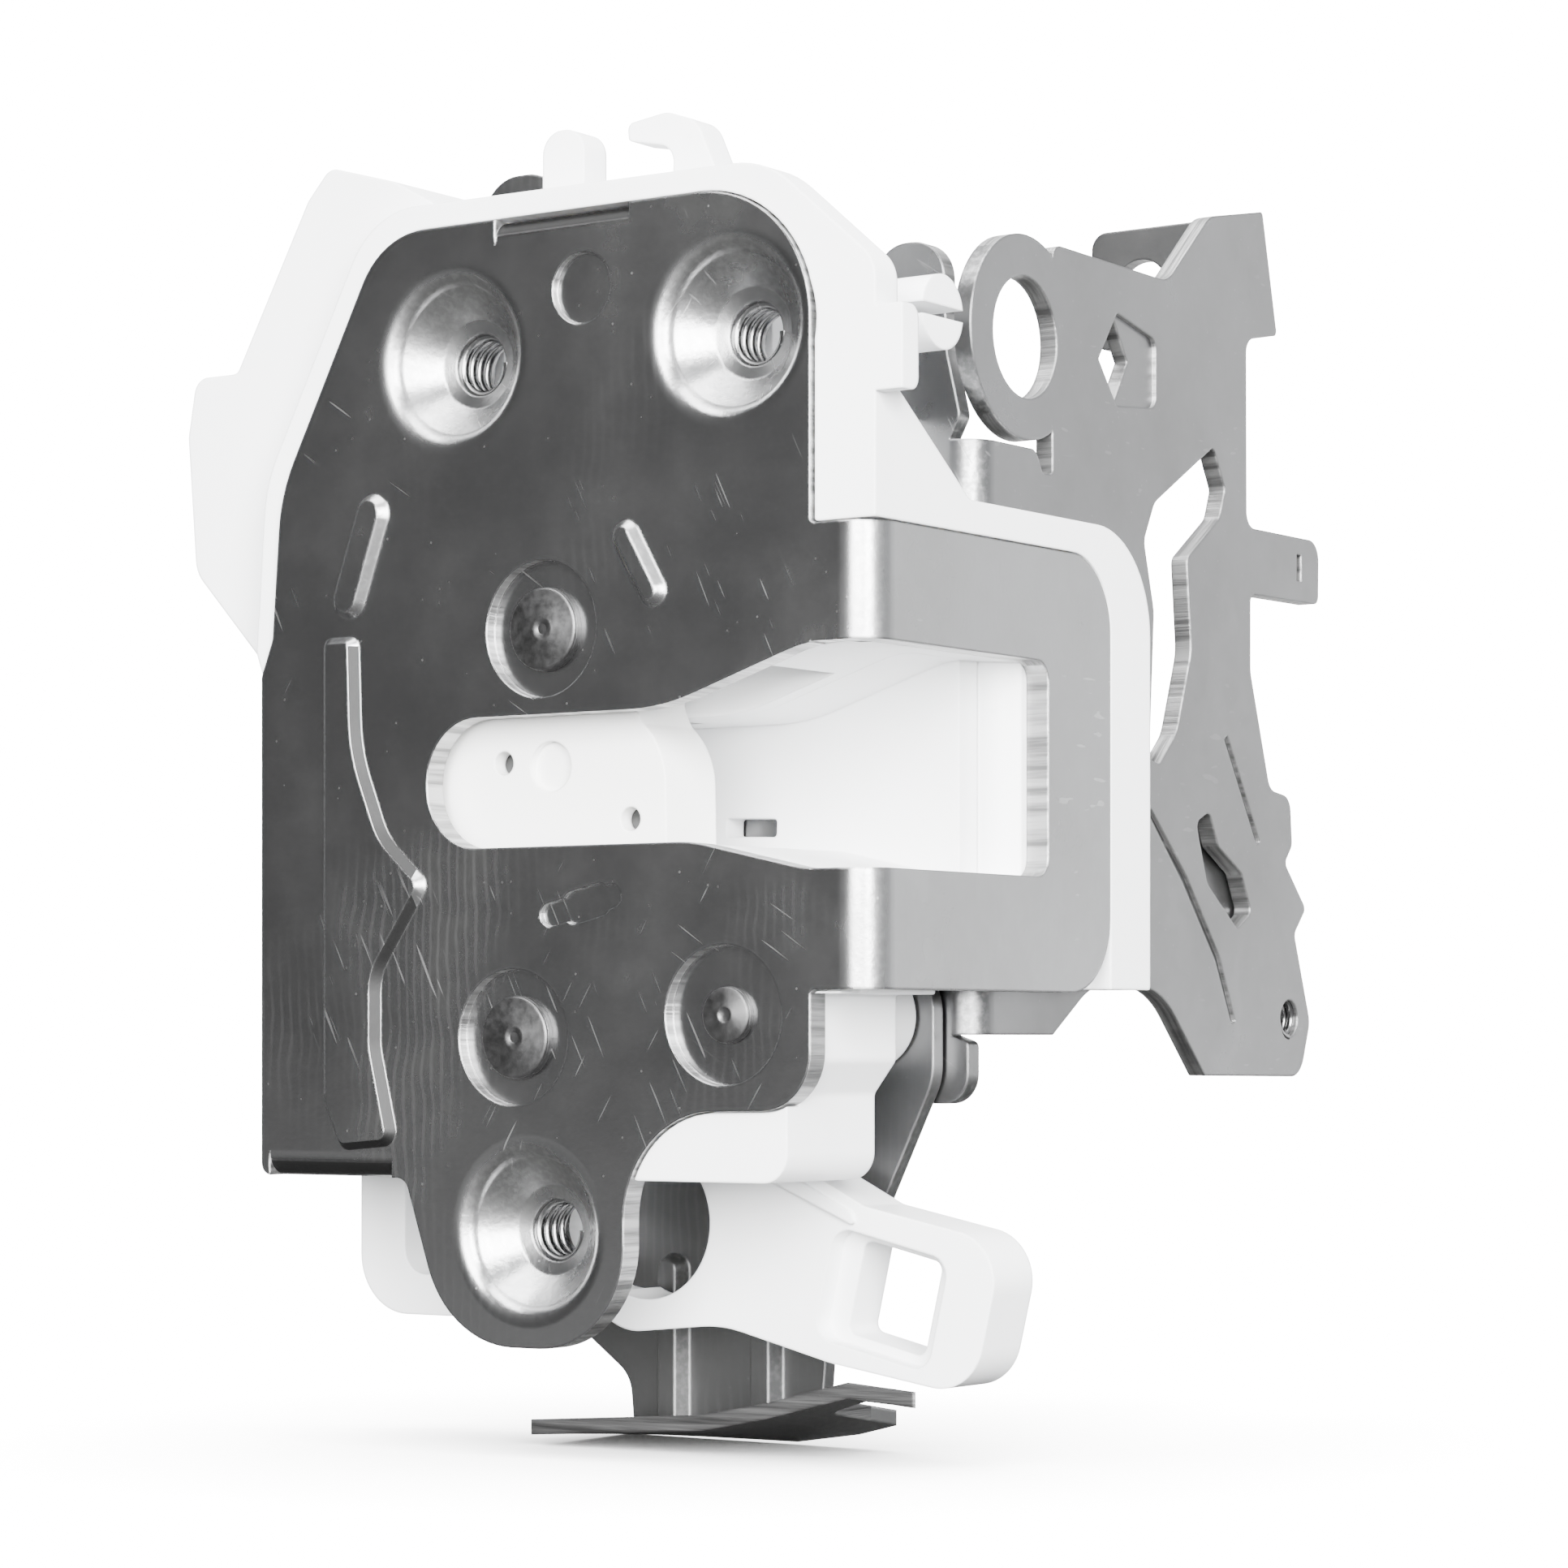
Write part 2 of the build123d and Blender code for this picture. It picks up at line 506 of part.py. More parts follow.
with BuildPart() as housing:
    with BuildSketch(at_depth(rim_back)):
        make_face(outline(rim_corners + lower_corners[:-1] + [(32.6, flange_bottom - 0.3, 0.2),
                                                              (32.6, flange_top + 0.2, 0.0)]))
    extrude(amount=rim_back - rim_front)
    with BuildSketch(at_depth(body_back)):
        make_face(outline(body_corners + lower_corners))
    extrude(amount=body_back - rim_back)
    # Side wall that carries the rim round the flange
    with BuildSketch(at_side(side_face + 0.4)):
        make_face(outline([(rim_front, flange_bottom + 0.3, 0.0), (rim_reach, flange_bottom + 0.3, 0.3),
                           (rim_reach, rim_top, 8.5), (13.6, rim_top, 2.0), (rim_back, 28.6, 0.5),
                           (rim_front, 28.6, 0.0)]))
    extrude(amount=housing_side - side_face - 0.4)
    # Post and hook on the top edge, for the wiring
    with BuildSketch(at_depth(12.0)):
        make_face(outline([(-3.0, 45.0, 0.0), (1.2, 45.0, 0.0), (1.2, 53.2, 1.9), (-3.0, 53.2, 1.9)]))
        make_face(outline([(9.9, 45.0, 0.0), (10.2, 50.6, 1.6), (5.7, 51.5, 0.4), (5.6, 52.9, 0.6),
                           (9.5, 53.4, 2.5), (12.4, 52.4, 2.5), (14.2, 48.4, 2.0), (14.4, 45.0, 0.0)]))
    extrude(amount=3.0)
    # Boss with a rounded end and split snap peg on the side
    with BuildSketch(at_side(housing_side - 2)):
        make_face(outline([(rim_front, 28.0, 0.0), (2.6, 28.0, 2.4), (2.6, 34.4, 2.4), (rim_front, 34.4, 0.0)]))
    extrude(amount=4.4)
    with BuildSketch(at_side(28.0)):
        with Locations((11.0, 35.4)):
            Circle(2.9)
            Rectangle(7.0, 0.9, mode=Mode.SUBTRACT)
    extrude(amount=6.2)
    # Pocket of the face plate and of its flange
    with BuildSketch(at_depth(plate_sheet)):
        make_face(outline(plate_corners))
        offset(amount=plate_gap)
    extrude(amount=plate_sheet, mode=Mode.SUBTRACT)
    with BuildSketch(at_side(flange_face - plate_sheet - 0.05)):
        make_face(outline([(-1, flange_bottom - 1.0, 0.0), (flange_depth + plate_gap, flange_bottom - 1.0, 0.1),
                           (flange_depth + plate_gap, flange_top + plate_gap, flange_corner),
                           (-1, flange_top + plate_gap, 0.0)]))
    extrude(amount=4, mode=Mode.SUBTRACT)
    with BuildSketch(at_side(flange_face - bend_radius - plate_gap)):
        make_face(outline([(-1, flange_bottom - 1.0, 0.0), (bend_radius + plate_gap, flange_bottom - 1.0, 0.0),
                           (bend_radius + plate_gap, flange_top + plate_gap, 0.0),
                           (-1, flange_top + plate_gap, 0.0)]))
    extrude(amount=bend_radius + 1, mode=Mode.SUBTRACT)
    with BuildSketch(Plane.YZ.offset(-0.95)):
        make_face(outline([(-1, plate_top + 0.15, 0.0), (6.15, plate_top + 0.15, 0.0),
                           (6.15, plate_top - plate_sheet - 0.15, 0.0), (-1, plate_top - plate_sheet - 0.15, 0.0)]))
    extrude(amount=13.5, mode=Mode.SUBTRACT)
    # Striker channel
    add(channel.part, mode=Mode.SUBTRACT)
    # Pocket of the claw and the pawl
    with BuildSketch(at_depth(pocket_floor)):
        with Locations(claw_pivot):
            Circle(claw_radius + 0.8)
        with BuildLine():
            Line(claw_pivot, around(claw_pivot, sweep_radius, -40))
            ThreePointArc(around(claw_pivot, sweep_radius, -40), around(claw_pivot, sweep_radius, -90),
                          around(claw_pivot, sweep_radius, -158))
            Line(around(claw_pivot, sweep_radius, -158), claw_pivot)
        make_face()
        make_face(outline([(-21.8, -1.0, 3.0), (-21.8, -11.0, 2.0), (-15.0, -18.4, 4.0), (-6.0, -26.0, 4.0),
                           (4.0, -26.0, 3.0), (8.5, -25.0, 2.0), (16.0, -24.0, 3.0), (16.0, -13.5, 3.0),
                           (5.0, -9.0, 2.0), (-6.0, 4.0, 3.0), (-16.0, 4.0, 4.0)]))
    extrude(amount=pocket_floor, mode=Mode.SUBTRACT)
    # Way of the tail pin and its fork behind the pocket floor
    with BuildSketch(at_depth(body_back)):
        with Locations((tail_centre[0], tail_centre[1])):
            Rectangle(2 * tail_pin_radius + 1.4, 2 * tail_pin_radius + 6.5)
    extrude(amount=body_back - pocket_floor + 1, mode=Mode.SUBTRACT)
    # Screw cups and pins
    cup_back = cup_cone_depth + 1.8
    with BuildSketch(at_depth(cup_back)):
        with Locations(*screw_places):
            Circle(cup_radius + cup_lip + 0.3)
    extrude(amount=cup_back + 1, mode=Mode.SUBTRACT)
    with BuildSketch(at_depth(body_back)):
        with Locations(*screw_places):
            Circle(neck_radius + 2.0)
    extrude(amount=body_back, mode=Mode.SUBTRACT)
    with BuildSketch(at_depth(body_back)):
        with Locations(claw_pivot, pawl_pivot):
            Circle(pin_shank + fit)
        with Locations(lever_pivot):
            Circle(2.0 + fit)
    extrude(amount=body_back, mode=Mode.SUBTRACT)
    with BuildSketch(at_depth(plate_back + 0.1)):
        with Locations(claw_pivot, pawl_pivot, lever_pivot):
            Circle(ring_radius + 0.9)
        with Locations((7.8, 38.3)):
            Circle(3.7)
    extrude(amount=plate_back, mode=Mode.SUBTRACT)
    # Passage of the claw spring, seats of the pawl stop and of the buffer at the end of the slot
    with BuildSketch(at_depth(body_back)):
        with Locations(claw_pivot):
            Circle(coil_radius + 2.0)
        with Locations((slot_end - 3.4, 0)):
            Rectangle(5.4, 9.4)
        with Locations(*cover_screw_places):
            Circle(cover_screw_radius)
    extrude(amount=body_back - pocket_floor, mode=Mode.SUBTRACT)
    with BuildSketch(at_depth(pocket_floor)):
        with Locations(pawl_stop_place):
            Circle(2.0)
    extrude(amount=pocket_floor, mode=Mode.SUBTRACT)
finish(housing, "housing")

# Rear moulding: it closes the striker channel and holds the claw spring and the lock motor
with BuildPart() as rear_housing:
    with BuildSketch(at_depth(core_end)):
        make_face(outline(core_corners))
        with Locations((screw_places[0][0], screw_places[0][1] + 5.0)):
            Rectangle(9.0, 10.0, mode=Mode.SUBTRACT)
        with Locations(screw_places[0]):
            Circle(4.5, mode=Mode.SUBTRACT)
        with Locations((screw_places[1][0] + 4.0, screw_places[1][1] + 4.0)):
            Rectangle(17.0, 17.0, mode=Mode.SUBTRACT)
    extrude(amount=core_end - body_back)
    add(channel.part, mode=Mode.SUBTRACT)
    with BuildSketch(at_side(flange_face - plate_sheet - 0.05)):
        make_face(outline([(-1, flange_bottom - 1.0, 0.0), (flange_depth + plate_gap, flange_bottom - 1.0, 0.1),
                           (flange_depth + plate_gap, flange_top + plate_gap, flange_corner),
                           (-1, flange_top + plate_gap, 0.0)]))
    extrude(amount=4, mode=Mode.SUBTRACT)
    with BuildSketch(at_side(side_face + 0.4)):
        make_face(outline([(0, flange_bottom, 0.0), (rim_reach, flange_bottom, 0.0), (rim_reach, rim_top, 0.0),
                           (0, rim_top, 0.0)]))
    extrude(amount=6, mode=Mode.SUBTRACT)
    # Slit in the channel floor
    with BuildSketch(at_depth(core_end)):
        with Locations(Location((10.0, -3.1, 0), -2)):
            RectangleRounded(5.0, 1.5, 0.3)
    extrude(amount=core_end - body_back, mode=Mode.SUBTRACT)
    # Seat of the claw spring round its pin
    with BuildSketch(at_depth(spring_floor)):
        with Locations(claw_pivot):
            Circle(coil_radius + 2.0)
            Circle(pin_shank + 1.2, mode=Mode.SUBTRACT)
    extrude(amount=spring_floor - body_back, mode=Mode.SUBTRACT)
    with BuildSketch(at_depth(core_end)):
        with Locations(claw_pivot):
            Circle(pin_shank + fit)
    extrude(amount=core_end, mode=Mode.SUBTRACT)
    # Chamber of the lock motor, open to the bracket
    with BuildSketch(Plane.XY.offset(motor_bottom - 0.3)):
        with Locations((motor_axis[0], (motor_axis[1] + core_end) / 2 + 1)):
            Rectangle(2 * motor_radius + 0.4, core_end - motor_axis[1] + 2)
        with Locations(motor_axis):
            Circle(motor_radius + 0.2)
    extrude(amount=motor_length + shaft_length + 1, mode=Mode.SUBTRACT)
    with BuildSketch(at_depth(19.0)):
        with Locations((slot_end - 3.4, 0)):
            Rectangle(5.4, 9.4)
    extrude(amount=19.0 - body_back, mode=Mode.SUBTRACT)
finish(rear_housing, "rear_housing")

# Bearing bush of the lock lever on the pawl pin, and the white spacer sleeve of the opening lever
for name, centre, radius, bore in (("lock_bush", pawl_pivot, sleeve_radius, pin_shank + fit),
                                   ("spacer_sleeve", lever_pivot, spacer_sleeve, 2.0 + fit)):
    with BuildPart() as bush:
        with BuildSketch(at_depth(sleeve_end)):
            with Locations(centre):
                Circle(radius)
                Circle(bore, mode=Mode.SUBTRACT)
        extrude(amount=sleeve_end - body_back)
    finish(bush, name)

# Lid of the drive on the back of the left wing, with its screws
with BuildPart() as drive_lid:
    with BuildSketch(at_depth(body_back + lid_sheet)):
        make_face(outline([(-24.8, 13.2, 1.5), (-34.2, 20.6, 2.5), (-35.2, 30.5, 1.5), (-34.4, 34.0, 1.2),
                           (-30.4, 34.2, 1.0), (-25.4, 43.2, 1.5), (-24.8, 36.0, 1.0)]))
        with Locations(*cover_screw_places):
            Circle(cover_screw_radius, mode=Mode.SUBTRACT)
    extrude(amount=lid_sheet)
    with BuildSketch(at_depth(body_back + lid_sheet + 0.8)):
        for lift in (23.5, 26.5, 29.5):
            with Locations((-30.0, lift)):
                Rectangle(6.4, 0.9)
    extrude(amount=0.8)
finish(drive_lid, "drive_lid")

with BuildPart() as drive_lid_screws:
    with BuildSketch(at_depth(body_back + lid_sheet)):
        with Locations(*cover_screw_places):
            Circle(cover_screw_radius)
    extrude(amount=lid_sheet + body_back - pocket_floor)
    with BuildSketch(at_depth(body_back + lid_sheet + 1.2)):
        with Locations(*cover_screw_places):
            Circle(1.8)
    extrude(amount=1.2)
    with BuildSketch(at_depth(body_back + lid_sheet + 1.2)):
        with Locations(*cover_screw_places):
            Rectangle(2.2, 0.5)
            Rectangle(0.5, 2.2)
    extrude(amount=0.7, mode=Mode.SUBTRACT)
finish(drive_lid_screws, "drive_lid_screws")

# Rubber buffer that stops the striker at the end of the slot
with BuildPart() as striker_buffer:
    with BuildSketch(at_depth(18.9)):
        with Locations((slot_end - 3.4, 0)):
            RectangleRounded(5.2, 9.2, 1.0)
    extrude(amount=18.9 - pocket_floor - 0.3)
finish(striker_buffer, "striker_buffer")

# Rubber stops of the claw and of the pawl, standing on the pocket floor
claw_stop_place = around(claw_pivot, claw_radius - 2.427, 39.0626)
with BuildPart() as claw_stop:
    with BuildSketch(at_depth(pocket_floor)):
        with Locations(claw_stop_place):
            Circle(2.2)
    extrude(amount=pocket_floor - moving_front)
finish(claw_stop, "claw_stop")

with BuildPart() as pawl_stop:
    with BuildSketch(at_depth(pocket_floor)):
        with Locations(pawl_stop_place):
            Circle(1.9)
    extrude(amount=pocket_floor - moving_front)
finish(pawl_stop, "pawl_stop")

# Lock motor: a can with flats, a bearing boss and its shaft, upright beside the claw spring
with BuildPart() as lock_motor:
    with BuildSketch(Plane.XY.offset(motor_bottom)):
        with Locations(motor_axis):
            Circle(motor_radius)
            Rectangle(2 * motor_radius, 1.7 * motor_radius, mode=Mode.INTERSECT)
    extrude(amount=motor_length)
    with BuildSketch(Plane.XY.offset(motor_bottom + motor_length)):
        with Locations(motor_axis):
            Circle(2.0)
    extrude(amount=1.0)
    with BuildSketch(Plane.XY.offset(motor_bottom + motor_length)):
        with Locations(motor_axis):
            Circle(shaft_radius)
    extrude(amount=shaft_length)
finish(lock_motor, "lock_motor")

# Claw spring: coil round the pin, behind the claw
with BuildPart() as claw_spring:
    with BuildLine() as coil_path:
        Helix(pitch=coil_pitch, height=spring_floor - pocket_floor - 2 * coil_wire - 0.3, radius=coil_radius,
              center=(claw_pivot[0], pocket_floor + coil_wire + 0.15, claw_pivot[1]), direction=(0, 1, 0))
    with BuildSketch(Plane(origin=coil_path.line @ 0, z_dir=coil_path.line % 0)):
        Circle(coil_wire)
    sweep(path=coil_path.line, is_frenet=True)
finish(claw_spring, "claw_spring")

# Bracket: back plate and side plate bent from one sheet
back_corners = [
    (27.4, 27.5, 0.0), (28.4, 29.4, 1.0), (27.2, 34.5, 5.0), (26.8, 43.6, 3.0), (20.4, 43.6, 3.0),
    (20.0, 34.0, 3.0), (12.0, 30.0, 4.0), (-2.0, 43.0, 4.0), (-11.4, 45.0, 2.0), (-11.4, 53.5, 3.8),
    (-19.9, 53.5, 3.8), (-20.6, 38.0, 6.0), (-21.5, -8.0, 4.0), (-7.5, -15.0, 4.0), (-7.0, -27.0, 4.0),
    (11.0, -27.4, 2.0), (12.5, -38.0, 2.5), (20.6, -38.0, 2.0), (20.6, -25.5, 1.0), (29.2, -25.5, 3.6),
    (29.2, -20.6, 0.6), (27.4, -20.0, 0.3)]
side_start = bracket_front + bracket_bend
side_corners = [
    (side_start, 27.5, 0.0), (31.6, 27.5, 1.2), (32.7, 25.7, 0.5), (34.3, 25.7, 0.5), (34.3, 44.6, 1.2),
    (53.2, 44.3, 3.0), (60.6, 51.0, 4.0), (70.2, 52.9, 0.4), (72.9, 42.3, 0.5), (67.2, 41.2, 1.5),
    (67.3, 24.7, 1.4), (80.9, 24.7, 1.8), (80.8, 19.0, 0.8), (68.0, 18.9, 0.8), (68.0, 12.0, 3.0),
    (71.6, 1.8, 1.5), (75.4, 1.3, 1.5), (75.8, -3.0, 1.0), (74.4, -4.6, 0.6), (78.4, -8.6, 0.6),
    (76.2, -10.9, 0.8), (79.2, -18.8, 2.0), (77.4, -23.7, 2.5), (59.8, -23.5, 0.5), (52.0, -15.9, 9.0),
    (40.5, -15.9, 7.0), (34.3, -20.0, 0.5), (side_start, -20.0, 0.0)]

with BuildPart() as bracket:
    with BuildSketch(at_depth(bracket_back)):
        make_face(outline(back_corners))
    extrude(amount=bracket_sheet)
    with BuildSketch(at_side(side_face - bracket_sheet)):
        make_face(outline(side_corners))
        with Locations(ring_centre):
            Circle(ring_outer)
            Circle(ring_hole, mode=Mode.SUBTRACT)
    extrude(amount=bracket_sheet)
    with BuildSketch(Plane.XY.offset(-20.0)):
        with BuildLine():
            start = side_face - bracket_bend
            inner = side_face - bracket_sheet
            RadiusArc((start, bracket_front), (side_face, side_start), -bracket_bend)
            Line((side_face, side_start), (inner, side_start))
            RadiusArc((inner, side_start), (start, bracket_back), bracket_bend - bracket_sheet)
            Line((start, bracket_back), (start, bracket_front))
        make_face()
    extrude(amount=47.5)
    # Rear flange, bent towards the door skin, and the boss of the tapped hole
    with BuildSketch(at_depth(rear_flange_depth + bracket_sheet)):
        make_face(outline([(side_face - 0.8, 42.0, 0.0), (side_face - 0.8, 52.6, 0.3),
                           (rear_flange_reach, 52.6, 1.5), (rear_flange_reach, 42.0, 1.5)]))
        with Locations((18.0, 47.0)):
            Circle(2.8, mode=Mode.SUBTRACT)
    extrude(amount=bracket_sheet)
    with BuildSketch(at_side(side_face - bracket_sheet - 1.9)):
        with Locations(tapped_place):
            Circle(tapped_hole + 1.3)
    extrude(amount=2.0)
    with BuildSketch(at_side(side_face - 6)):
        with Locations(tapped_place):
            Circle(tapped_hole)
        make_face(outline([(61.3, 31.1, 0.6), (51.0, 25.2, 2.0), (49.2, 21.8, 1.5), (50.9, 16.0, 3.0),
                           (50.1, 3.4, 0.5), (51.8, 3.0, 0.6), (54.8, 5.8, 3.0), (57.4, 13.0, 4.0),
                           (56.6, 21.0, 1.0), (62.4, 25.0, 1.5), (63.4, 27.6, 0.8)]))
        make_face(outline([(58.2, -1.6, 0.8), (60.6, -0.6, 0.8), (62.2, -3.6, 1.0), (66.4, -5.8, 1.0),
                           (68.2, -9.2, 0.8), (65.6, -10.7, 0.8), (60.2, -6.9, 1.5)]))
        make_face(outline([(42.1, 36.1, 0.1), (44.7, 39.9, 0.1), (47.0, 36.6, 0.1), (44.8, 33.1, 0.1)]))
        with Locations((77.1, 22.0)):
            Rectangle(0.9, 2.4)
        with Locations(inside_pivot):
            Circle(inside_shaft + fit / 2)
    extrude(amount=8, mode=Mode.SUBTRACT)
    # Sunk field beside the diamond hole, creases of the side plate and pressed stiffening bead
    with BuildSketch(at_side(side_face - 0.35)):
        make_face(outline([(41.6, 36.2, 0.3), (44.6, 32.6, 0.3), (51.2, 33.2, 1.0), (51.2, 39.0, 1.0),
                           (44.7, 40.4, 0.3)]))
        make_face(outline([(50.4, -0.8, 0.0), (56.6, -6.4, 2.0), (62.4, -13.2, 2.0), (65.2, -18.8, 0.0),
                           (64.5, -19.0, 0.0), (61.6, -13.5, 2.0), (55.9, -7.0, 2.0), (50.0, -1.3, 0.0)]))
        make_face(outline([(63.2, 5.8, 0.0), (69.1, -3.2, 0.0), (69.7, -2.9, 0.0), (63.8, 6.2, 0.0)]))
    extrude(amount=1, mode=Mode.SUBTRACT)
    with BuildSketch(at_depth(bracket_back + 1)):
        with Locations(claw_pivot, pawl_pivot, lever_pivot):
            Circle(rivet_neck + fit / 2)
        with Locations((-15.6, 49.2)):
            Circle(1.6)
        with Locations(screw_places[0]):
            Circle(screw_clearance + 0.6)
    extrude(amount=bracket_sheet + 2, mode=Mode.SUBTRACT)
finish(bracket, "bracket")

# Opening lever: beaded steel web on the spacer rivet, a fork on the tail pin, and a foot that rises
# towards the front and to the right
with BuildPart() as open_lever:
    lever_back = lever_front + lever_sheet
    fork_gap = tail_pin_radius + 0.35
    with BuildSketch(at_depth(lever_back)):
        make_face(outline([(27.0, -13.5, 5.0), (16.0, -13.2, 3.0), (8.4, -14.4, 1.5), (8.0, -24.6, 1.5),
                           (12.0, -26.0, 2.0), (2.0, -29.0, 3.0), (-12.0, -38.0, 3.0), (-7.4, -45.2, 2.0),
                           (-3.0, -48.4, 3.0), (-2.6, -52.6, 0.3), (16.2, -52.0, 0.3), (16.8, -45.0, 4.0),
                           (21.0, -36.0, 6.0), (27.0, -23.6, 5.0)]))
        with Locations(lever_pivot):
            Circle(pin_shank + fit, mode=Mode.SUBTRACT)
        with Locations((tail_centre[0] - 2.5, tail_centre[1])):
            Rectangle(5 + 2 * 2.6, 2 * fork_gap, mode=Mode.SUBTRACT)
    extrude(amount=lever_sheet)
    # Stiffening beads down the web
    with BuildSketch(at_depth(lever_front)):
        with Locations((1.6, -45.5)):
            RectangleRounded(3.0, 15.0, 1.4)
        with Locations((11.0, -45.5)):
            RectangleRounded(3.0, 15.0, 1.4)
    extrude(amount=1.3, taper=25)
    # Foot
    foot_places = (-4.2, 13.0, 19.0, 26.8, 33.6)
    back_heights = (-53.3, -53.2, -52.3, -50.3, -50.3)
    front_heights = (-52.5, -51.3, -50.1, -48.1, -48.6)
    for depth, heights in ((lever_back, back_heights), (foot_front, front_heights)):
        under = [(x, z, 0.0) for x, z in zip(foot_places, heights)]
        upper = [(x, z + foot_sheet, 0.0) for x, z in zip(foot_places, heights)]
        with BuildSketch(at_depth(depth)):
            make_face(outline(under + upper[::-1]))
    loft(ruled=True)
    with BuildSketch(Plane.XY.offset(-56)):
        make_face(outline([(22.6, foot_tongue_back, 2.0), (30.0, foot_front + 1.8, 2.0), (33.0, foot_front, 0.0),
                           (40.0, foot_front - 2, 0.0), (40.0, lever_back + 1, 0.0),
                           (22.6, lever_back + 1, 0.0)]))
    extrude(amount=10.5, mode=Mode.SUBTRACT)
finish(open_lever, "open_lever")

# Lock lever: thick plastic lever on the sleeve of the pawl pin, an eye on the right, a loop on the left
with BuildPart() as lock_lever:
    with BuildSketch(at_depth(lock_back)):
        make_face(outline([(6.0, -14.0, 5.0), (7.4, -24.4, 5.0), (25.6, -33.4, 2.0), (38.4, -36.0, 4.0),
                           (35.6, -47.9, 4.0), (22.5, -45.8, 12.0), (12.0, -43.2, 12.0), (1.6, -44.2, 5.0),
                           (-6.0, -36.5, 4.0), (-11.6, -36.5, 2.0), (-13.0, -43.5, 3.6), (-25.6, -43.5, 5.0),
                           (-25.6, -26.0, 5.0), (-10.0, -22.0, 5.0), (-5.5, -14.0, 5.0)]))
        with Locations(pawl_pivot):
            Circle(sleeve_radius + fit, mode=Mode.SUBTRACT)
        with Locations(Location(lock_eye, -13)):
            RectangleRounded(7.4, 7.6, 0.8, mode=Mode.SUBTRACT)
        with Locations((4.5, -35.1)):
            Circle(6.3, mode=Mode.SUBTRACT)
        with Locations((0.4, -35.5)):
            Circle(5.4, mode=Mode.SUBTRACT)
        make_face(outline([(-20.8, -29.5, 2.0), (-16.2, -29.5, 2.0), (-16.2, -40.1, 2.2), (-20.8, -40.1, 2.2)]),
                  mode=Mode.SUBTRACT)
    extrude(amount=lock_back - lock_front)
    with BuildSketch(at_depth(lock_front + 1.6)):
        with Locations(Location((lock_eye[0] - 0.3, lock_eye[1], 0), -13)):
            RectangleRounded(10.8, 9.0, 1.6)
    extrude(amount=3, mode=Mode.SUBTRACT)
    # Raised rail along the upper edge of the arm
    with BuildSketch(at_depth(lock_front)):
        make_face(outline([(13.0, -28.2, 0.4), (24.6, -33.9, 1.0), (25.0, -35.0, 0.6), (13.0, -30.0, 0.6)]))
    extrude(amount=0.35)
finish(lock_lever, "lock_lever")

# Inside lever: steel, on the hidden side of the side plate, for the inner handle and the lock knob
with BuildPart() as inside_lever:
    inside_face = side_face - bracket_sheet - inside_gap
    with BuildSketch(at_side(inside_face - inside_sheet)):
        make_face(outline([(30.0, -13.0, 4.0), (42.0, -15.0, 5.0), (56.0, -13.6, 4.0), (66.5, -16.0, 3.5),
                           (71.4, -12.6, 3.0), (69.0, -2.6, 4.0), (58.0, 1.4, 4.0), (54.0, 3.0, 2.0),
                           (51.4, 9.0, 0.4), (50.6, 12.6, 0.4), (47.6, 3.0, 3.0), (36.0, -1.0, 6.0),
                           (29.8, -3.0, 4.0)]))
        with Locations(inside_pivot):
            Circle(inside_shaft + fit, mode=Mode.SUBTRACT)
        with Locations((67.2, -11.6)):
            Circle(1.6, mode=Mode.SUBTRACT)
    extrude(amount=inside_sheet)
finish(inside_lever, "inside_lever")

# Rivet of the inside lever
with BuildPart() as inside_rivet:
    with BuildSketch(at_side(inside_face - inside_sheet - 0.1)):
        with Locations(inside_pivot):
            Circle(inside_shaft)
    extrude(amount=side_face - inside_face + inside_sheet + 0.1)
    with BuildSketch(at_side(inside_face - inside_sheet - 1.3)):
        with Locations(inside_pivot):
            Circle(inside_shaft + 1.6)
    extrude(amount=1.2)
    chamfer(inside_rivet.edges().group_by(Axis.X)[0], 0.5)
finish(inside_rivet, "inside_rivet")
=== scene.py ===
# %% [markdown]
# A side door latch is a small machine: a zinc plated face plate with a slot for the door striker, a
# white moulded housing that holds a claw and a pawl, and a bent steel bracket behind. Its shapes come
# from the CAD model, so this lesson spends its effort on what CAD leaves out: the finishes of plated,
# drawn and sheared steel, the satin of the mouldings, cut threads, riveted pin ends and soft light.

# %% Load the frame
from math import cos, pi, radians, sin

import bpy
from mathutils import Matrix, Vector


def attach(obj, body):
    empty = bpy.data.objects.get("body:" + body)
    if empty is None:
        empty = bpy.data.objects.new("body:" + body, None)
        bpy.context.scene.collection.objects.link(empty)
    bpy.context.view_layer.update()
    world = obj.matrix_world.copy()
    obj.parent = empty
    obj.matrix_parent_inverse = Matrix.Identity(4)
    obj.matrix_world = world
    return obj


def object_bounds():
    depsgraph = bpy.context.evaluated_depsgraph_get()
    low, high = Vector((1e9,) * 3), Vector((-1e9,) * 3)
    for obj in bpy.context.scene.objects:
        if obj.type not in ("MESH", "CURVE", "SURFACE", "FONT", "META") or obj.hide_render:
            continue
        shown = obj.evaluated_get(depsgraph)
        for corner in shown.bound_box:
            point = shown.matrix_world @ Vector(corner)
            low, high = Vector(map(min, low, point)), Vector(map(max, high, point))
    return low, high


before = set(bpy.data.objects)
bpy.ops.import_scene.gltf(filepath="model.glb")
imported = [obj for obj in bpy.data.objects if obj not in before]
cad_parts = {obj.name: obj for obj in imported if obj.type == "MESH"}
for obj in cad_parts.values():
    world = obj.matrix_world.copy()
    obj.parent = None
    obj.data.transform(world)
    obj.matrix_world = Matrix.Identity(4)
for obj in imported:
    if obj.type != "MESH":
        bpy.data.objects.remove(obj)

cad_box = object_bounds()
bpy.ops.object.select_all(action="DESELECT")
print("nodes:", sorted(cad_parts))


